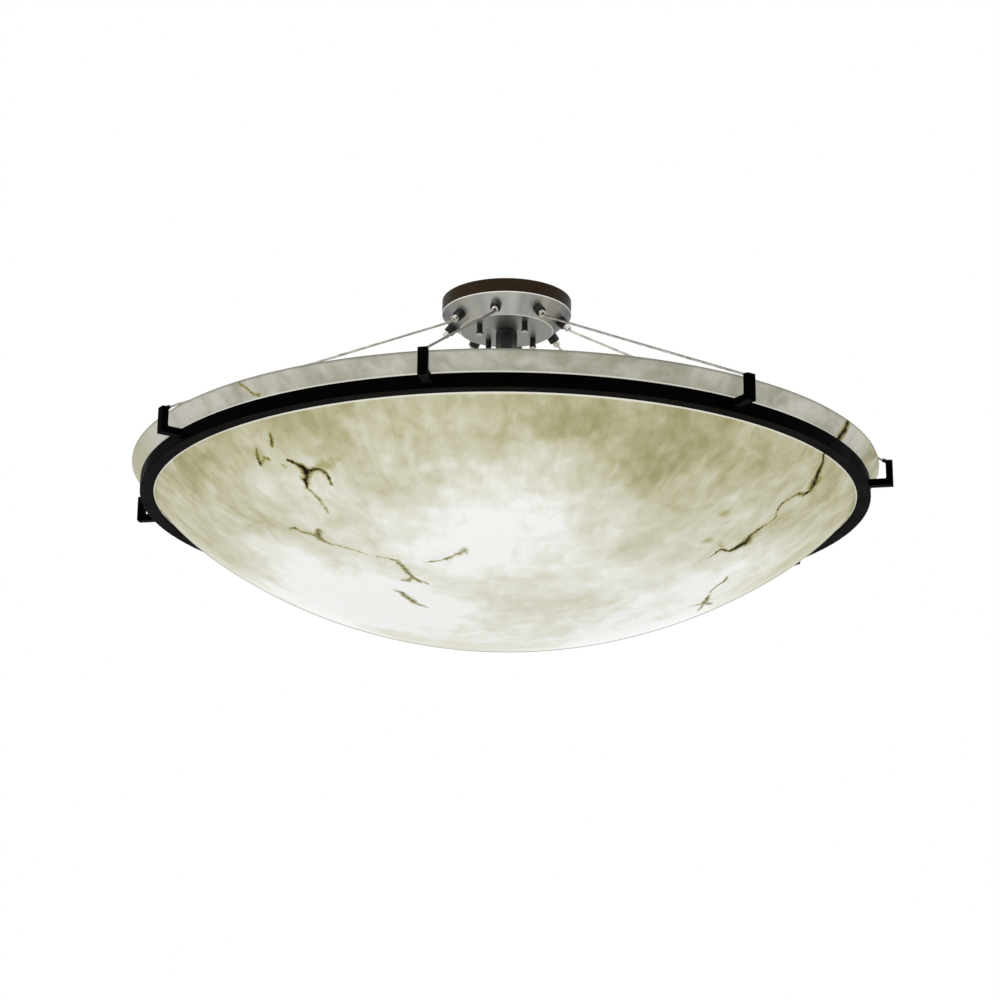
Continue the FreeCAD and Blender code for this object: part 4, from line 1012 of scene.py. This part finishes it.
def ropeMesh(walked):
    strands = cableForm["strands"]
    radius = cableForm["diameter"] / 6  # a strand's, with three of them across
    curve = bpy.data.curves.new("rope", "CURVE")
    curve.dimensions = "3D"
    curve.bevel_depth, curve.bevel_resolution, curve.use_fill_caps = radius, 1, True
    across = Vector((1, 0, 0))
    for strand in range(strands):
        points = []
        for index, (place, ahead) in enumerate(walked):
            angle = math.tau * (index / cableForm["turnSteps"] + strand / strands)
            beside = across * math.cos(angle) + ahead.cross(across) * math.sin(angle)
            points.append(place + beside * radius * 2)
        addStrand(curve, points)
    addStrand(curve, thinned(walked, cableForm["coreEvery"]))
    made = bpy.data.objects.new("rope", curve)
    bpy.context.scene.collection.objects.link(made)
    data = bpy.data.meshes.new_from_object(made.evaluated_get(bpy.context.evaluated_depsgraph_get()))
    bpy.data.objects.remove(made)
    bpy.data.curves.remove(curve)
    return data


def makeRopeSteel():
    material, tree, shader = newMaterial("ropeSteel")
    marks = useGroup(
        tree, speckle, Vector=objectPlace(tree), Grain=cableForm["grain"], Smudge=cableForm["smudge"]
    )
    colour = blendColour(tree, marks.outputs["Smudge"], cableForm["colour"], cableForm["groove"])
    # Painted shade along the rope's edges, where they turn from the camera.
    edges = turnedAway(tree, *cableForm["edgeSpan"])
    setInputs(tree, shader, {
        "Base Color": blendColour(tree, edges, colour, cableForm["edges"]),
        "Roughness": spread(tree, marks.outputs["Grain"], *noiseSpan, *cableForm["rough"]),
        "Metallic": 1.0,
    })
    return material


def makeCables():
    grip, route = cableRoute()
    walked, length = walkAlong(route, cableForm["lay"] / cableForm["turnSteps"])
    steel, master = makeRopeSteel(), ropeMesh(walked)
    for index in range(cableForm["count"]):
        degrees = cableForm["first"] + 360 / cableForm["count"] * index
        turn = Matrix.Rotation(math.radians(degrees), 4, "Z")
        data = master.copy()
        data.transform(turn)
        data.materials.append(steel)
        data.shade_smooth()
        name = f"cable_{index + 1}"
        rope = bpy.data.objects.new(f"ropeCable{index + 1}", data)
        bpy.context.scene.collection.objects.link(rope)
        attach(rope, "fixture")
        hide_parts(name)
    print("cables made, each of", round(length, 4), "m and", len(master.polygons), "faces")
    bpy.data.meshes.remove(master)


makeCables()


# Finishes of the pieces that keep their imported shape. A name that ends in _ stands for numbered ones.
dressing = {
    "blackPaint": ("ring", "bracket_"),
    "blackOxide": ("grip_barrel_", "stem_boss", "cable_terminals", "bracket_screws"),
    "thumbNut": ("canopy_nuts",),
    "bronzePaint": ("canopy_band",),
    "brushedSteel": ("canopy_dish",),
    "nickel": ("grip_plunger_",),
    "zinc": ("mounting_plate", "canopy_studs", "grip_locknuts", "stem_tube", "stem_locknuts", "lamp_arms"),
    "greenZinc": ("ground_screw",),
    "silicone": ("ring_pad",),
    "leadJacket": ("lamp_lead",),
    "whitePaint": ("lamp_hub", "hub_cover"),
    "glazedWhite": ("lamp_socket_",),
    "litGlobe": ("lamp_bulb_",),
}


def dressNodes():
    for finish, kinds in dressing.items():
        for name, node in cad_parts.items():
            if name.rstrip("0123456789") in kinds:
                node.data.materials.clear()
                node.data.materials.append(finishes[finish])


dressNodes()
print("nodes dressed")


# The stage: a pale floor far below, white behind, and soft light from all round with two large lamps.
stageLook = {
    "floorLevel": -2.6,
    "floorSize": 60.0,
    "floorColour": (0.86, 0.86, 0.86),
    "floorRough": 0.9,
    "floorSpecular": 0.1,
    "sky": (0.93, 0.94, 0.95),
    "skyStrength": 0.72,
    "keyPlace": (-1.9, -3.0, -0.9),
    "keySize": 2.2,
    "keyPower": 42.0,
    "fillPlace": (2.4, -2.2, -1.9),
    "fillSize": 2.6,
    "fillPower": 24.0,
    "aim": (0.0, 0.0, -0.3),
}


def makeWorld():
    world = bpy.data.worlds.new("studio")
    bpy.context.scene.world = world
    world.use_nodes = True
    tree = world.node_tree
    tree.nodes.clear()
    path = addNode(tree, "ShaderNodeLightPath")
    seen = math2(tree, "MAXIMUM", path.outputs["Is Camera Ray"], path.outputs["Is Glossy Ray"])
    seen = math2(tree, "MAXIMUM", seen, path.outputs["Is Transmission Ray"])
    soft, white = addNode(tree, "ShaderNodeBackground"), addNode(tree, "ShaderNodeBackground")
    setInputs(tree, soft, {"Color": stageLook["sky"], "Strength": stageLook["skyStrength"]})
    setInputs(tree, white, {"Color": (1, 1, 1)})
    both = addNode(tree, "ShaderNodeMixShader")
    for target, source in zip(both.inputs, (seen, soft.outputs[0], white.outputs[0])):
        feed(tree, target, source)
    tree.links.new(both.outputs[0], addNode(tree, "ShaderNodeOutputWorld").inputs["Surface"])


def addLamp(name):
    data = bpy.data.lights.new(name, "AREA")
    data.shape, data.size, data.energy = "DISK", stageLook[name + "Size"], stageLook[name + "Power"]
    lamp = bpy.data.objects.new(name, data)
    bpy.context.scene.collection.objects.link(lamp)
    lamp.location = stageLook[name + "Place"]
    aim = Vector(stageLook["aim"]) - lamp.location
    lamp.rotation_euler = aim.to_track_quat("-Z", "Y").to_euler()


def makeFloor():
    mesh = bmesh.new()
    bmesh.ops.create_grid(mesh, x_segments=1, y_segments=1, size=stageLook["floorSize"] / 2)
    bmesh.ops.translate(mesh, verts=mesh.verts, vec=(0, 0, stageLook["floorLevel"]))
    data = bpy.data.meshes.new("floor")
    mesh.to_mesh(data)
    mesh.free()
    floor = bpy.data.objects.new("floor", data)
    bpy.context.scene.collection.objects.link(floor)
    material, tree, shader = newMaterial("paleFloor")
    setInputs(tree, shader, {
        "Base Color": stageLook["floorColour"],
        "Roughness": stageLook["floorRough"],
        "Specular IOR Level": stageLook["floorSpecular"],
    })
    floor.data.materials.append(material)


makeWorld()
addLamp("key")
addLamp("fill")
makeFloor()
bpy.context.scene.view_settings.view_transform = "Standard"
print("stage made")
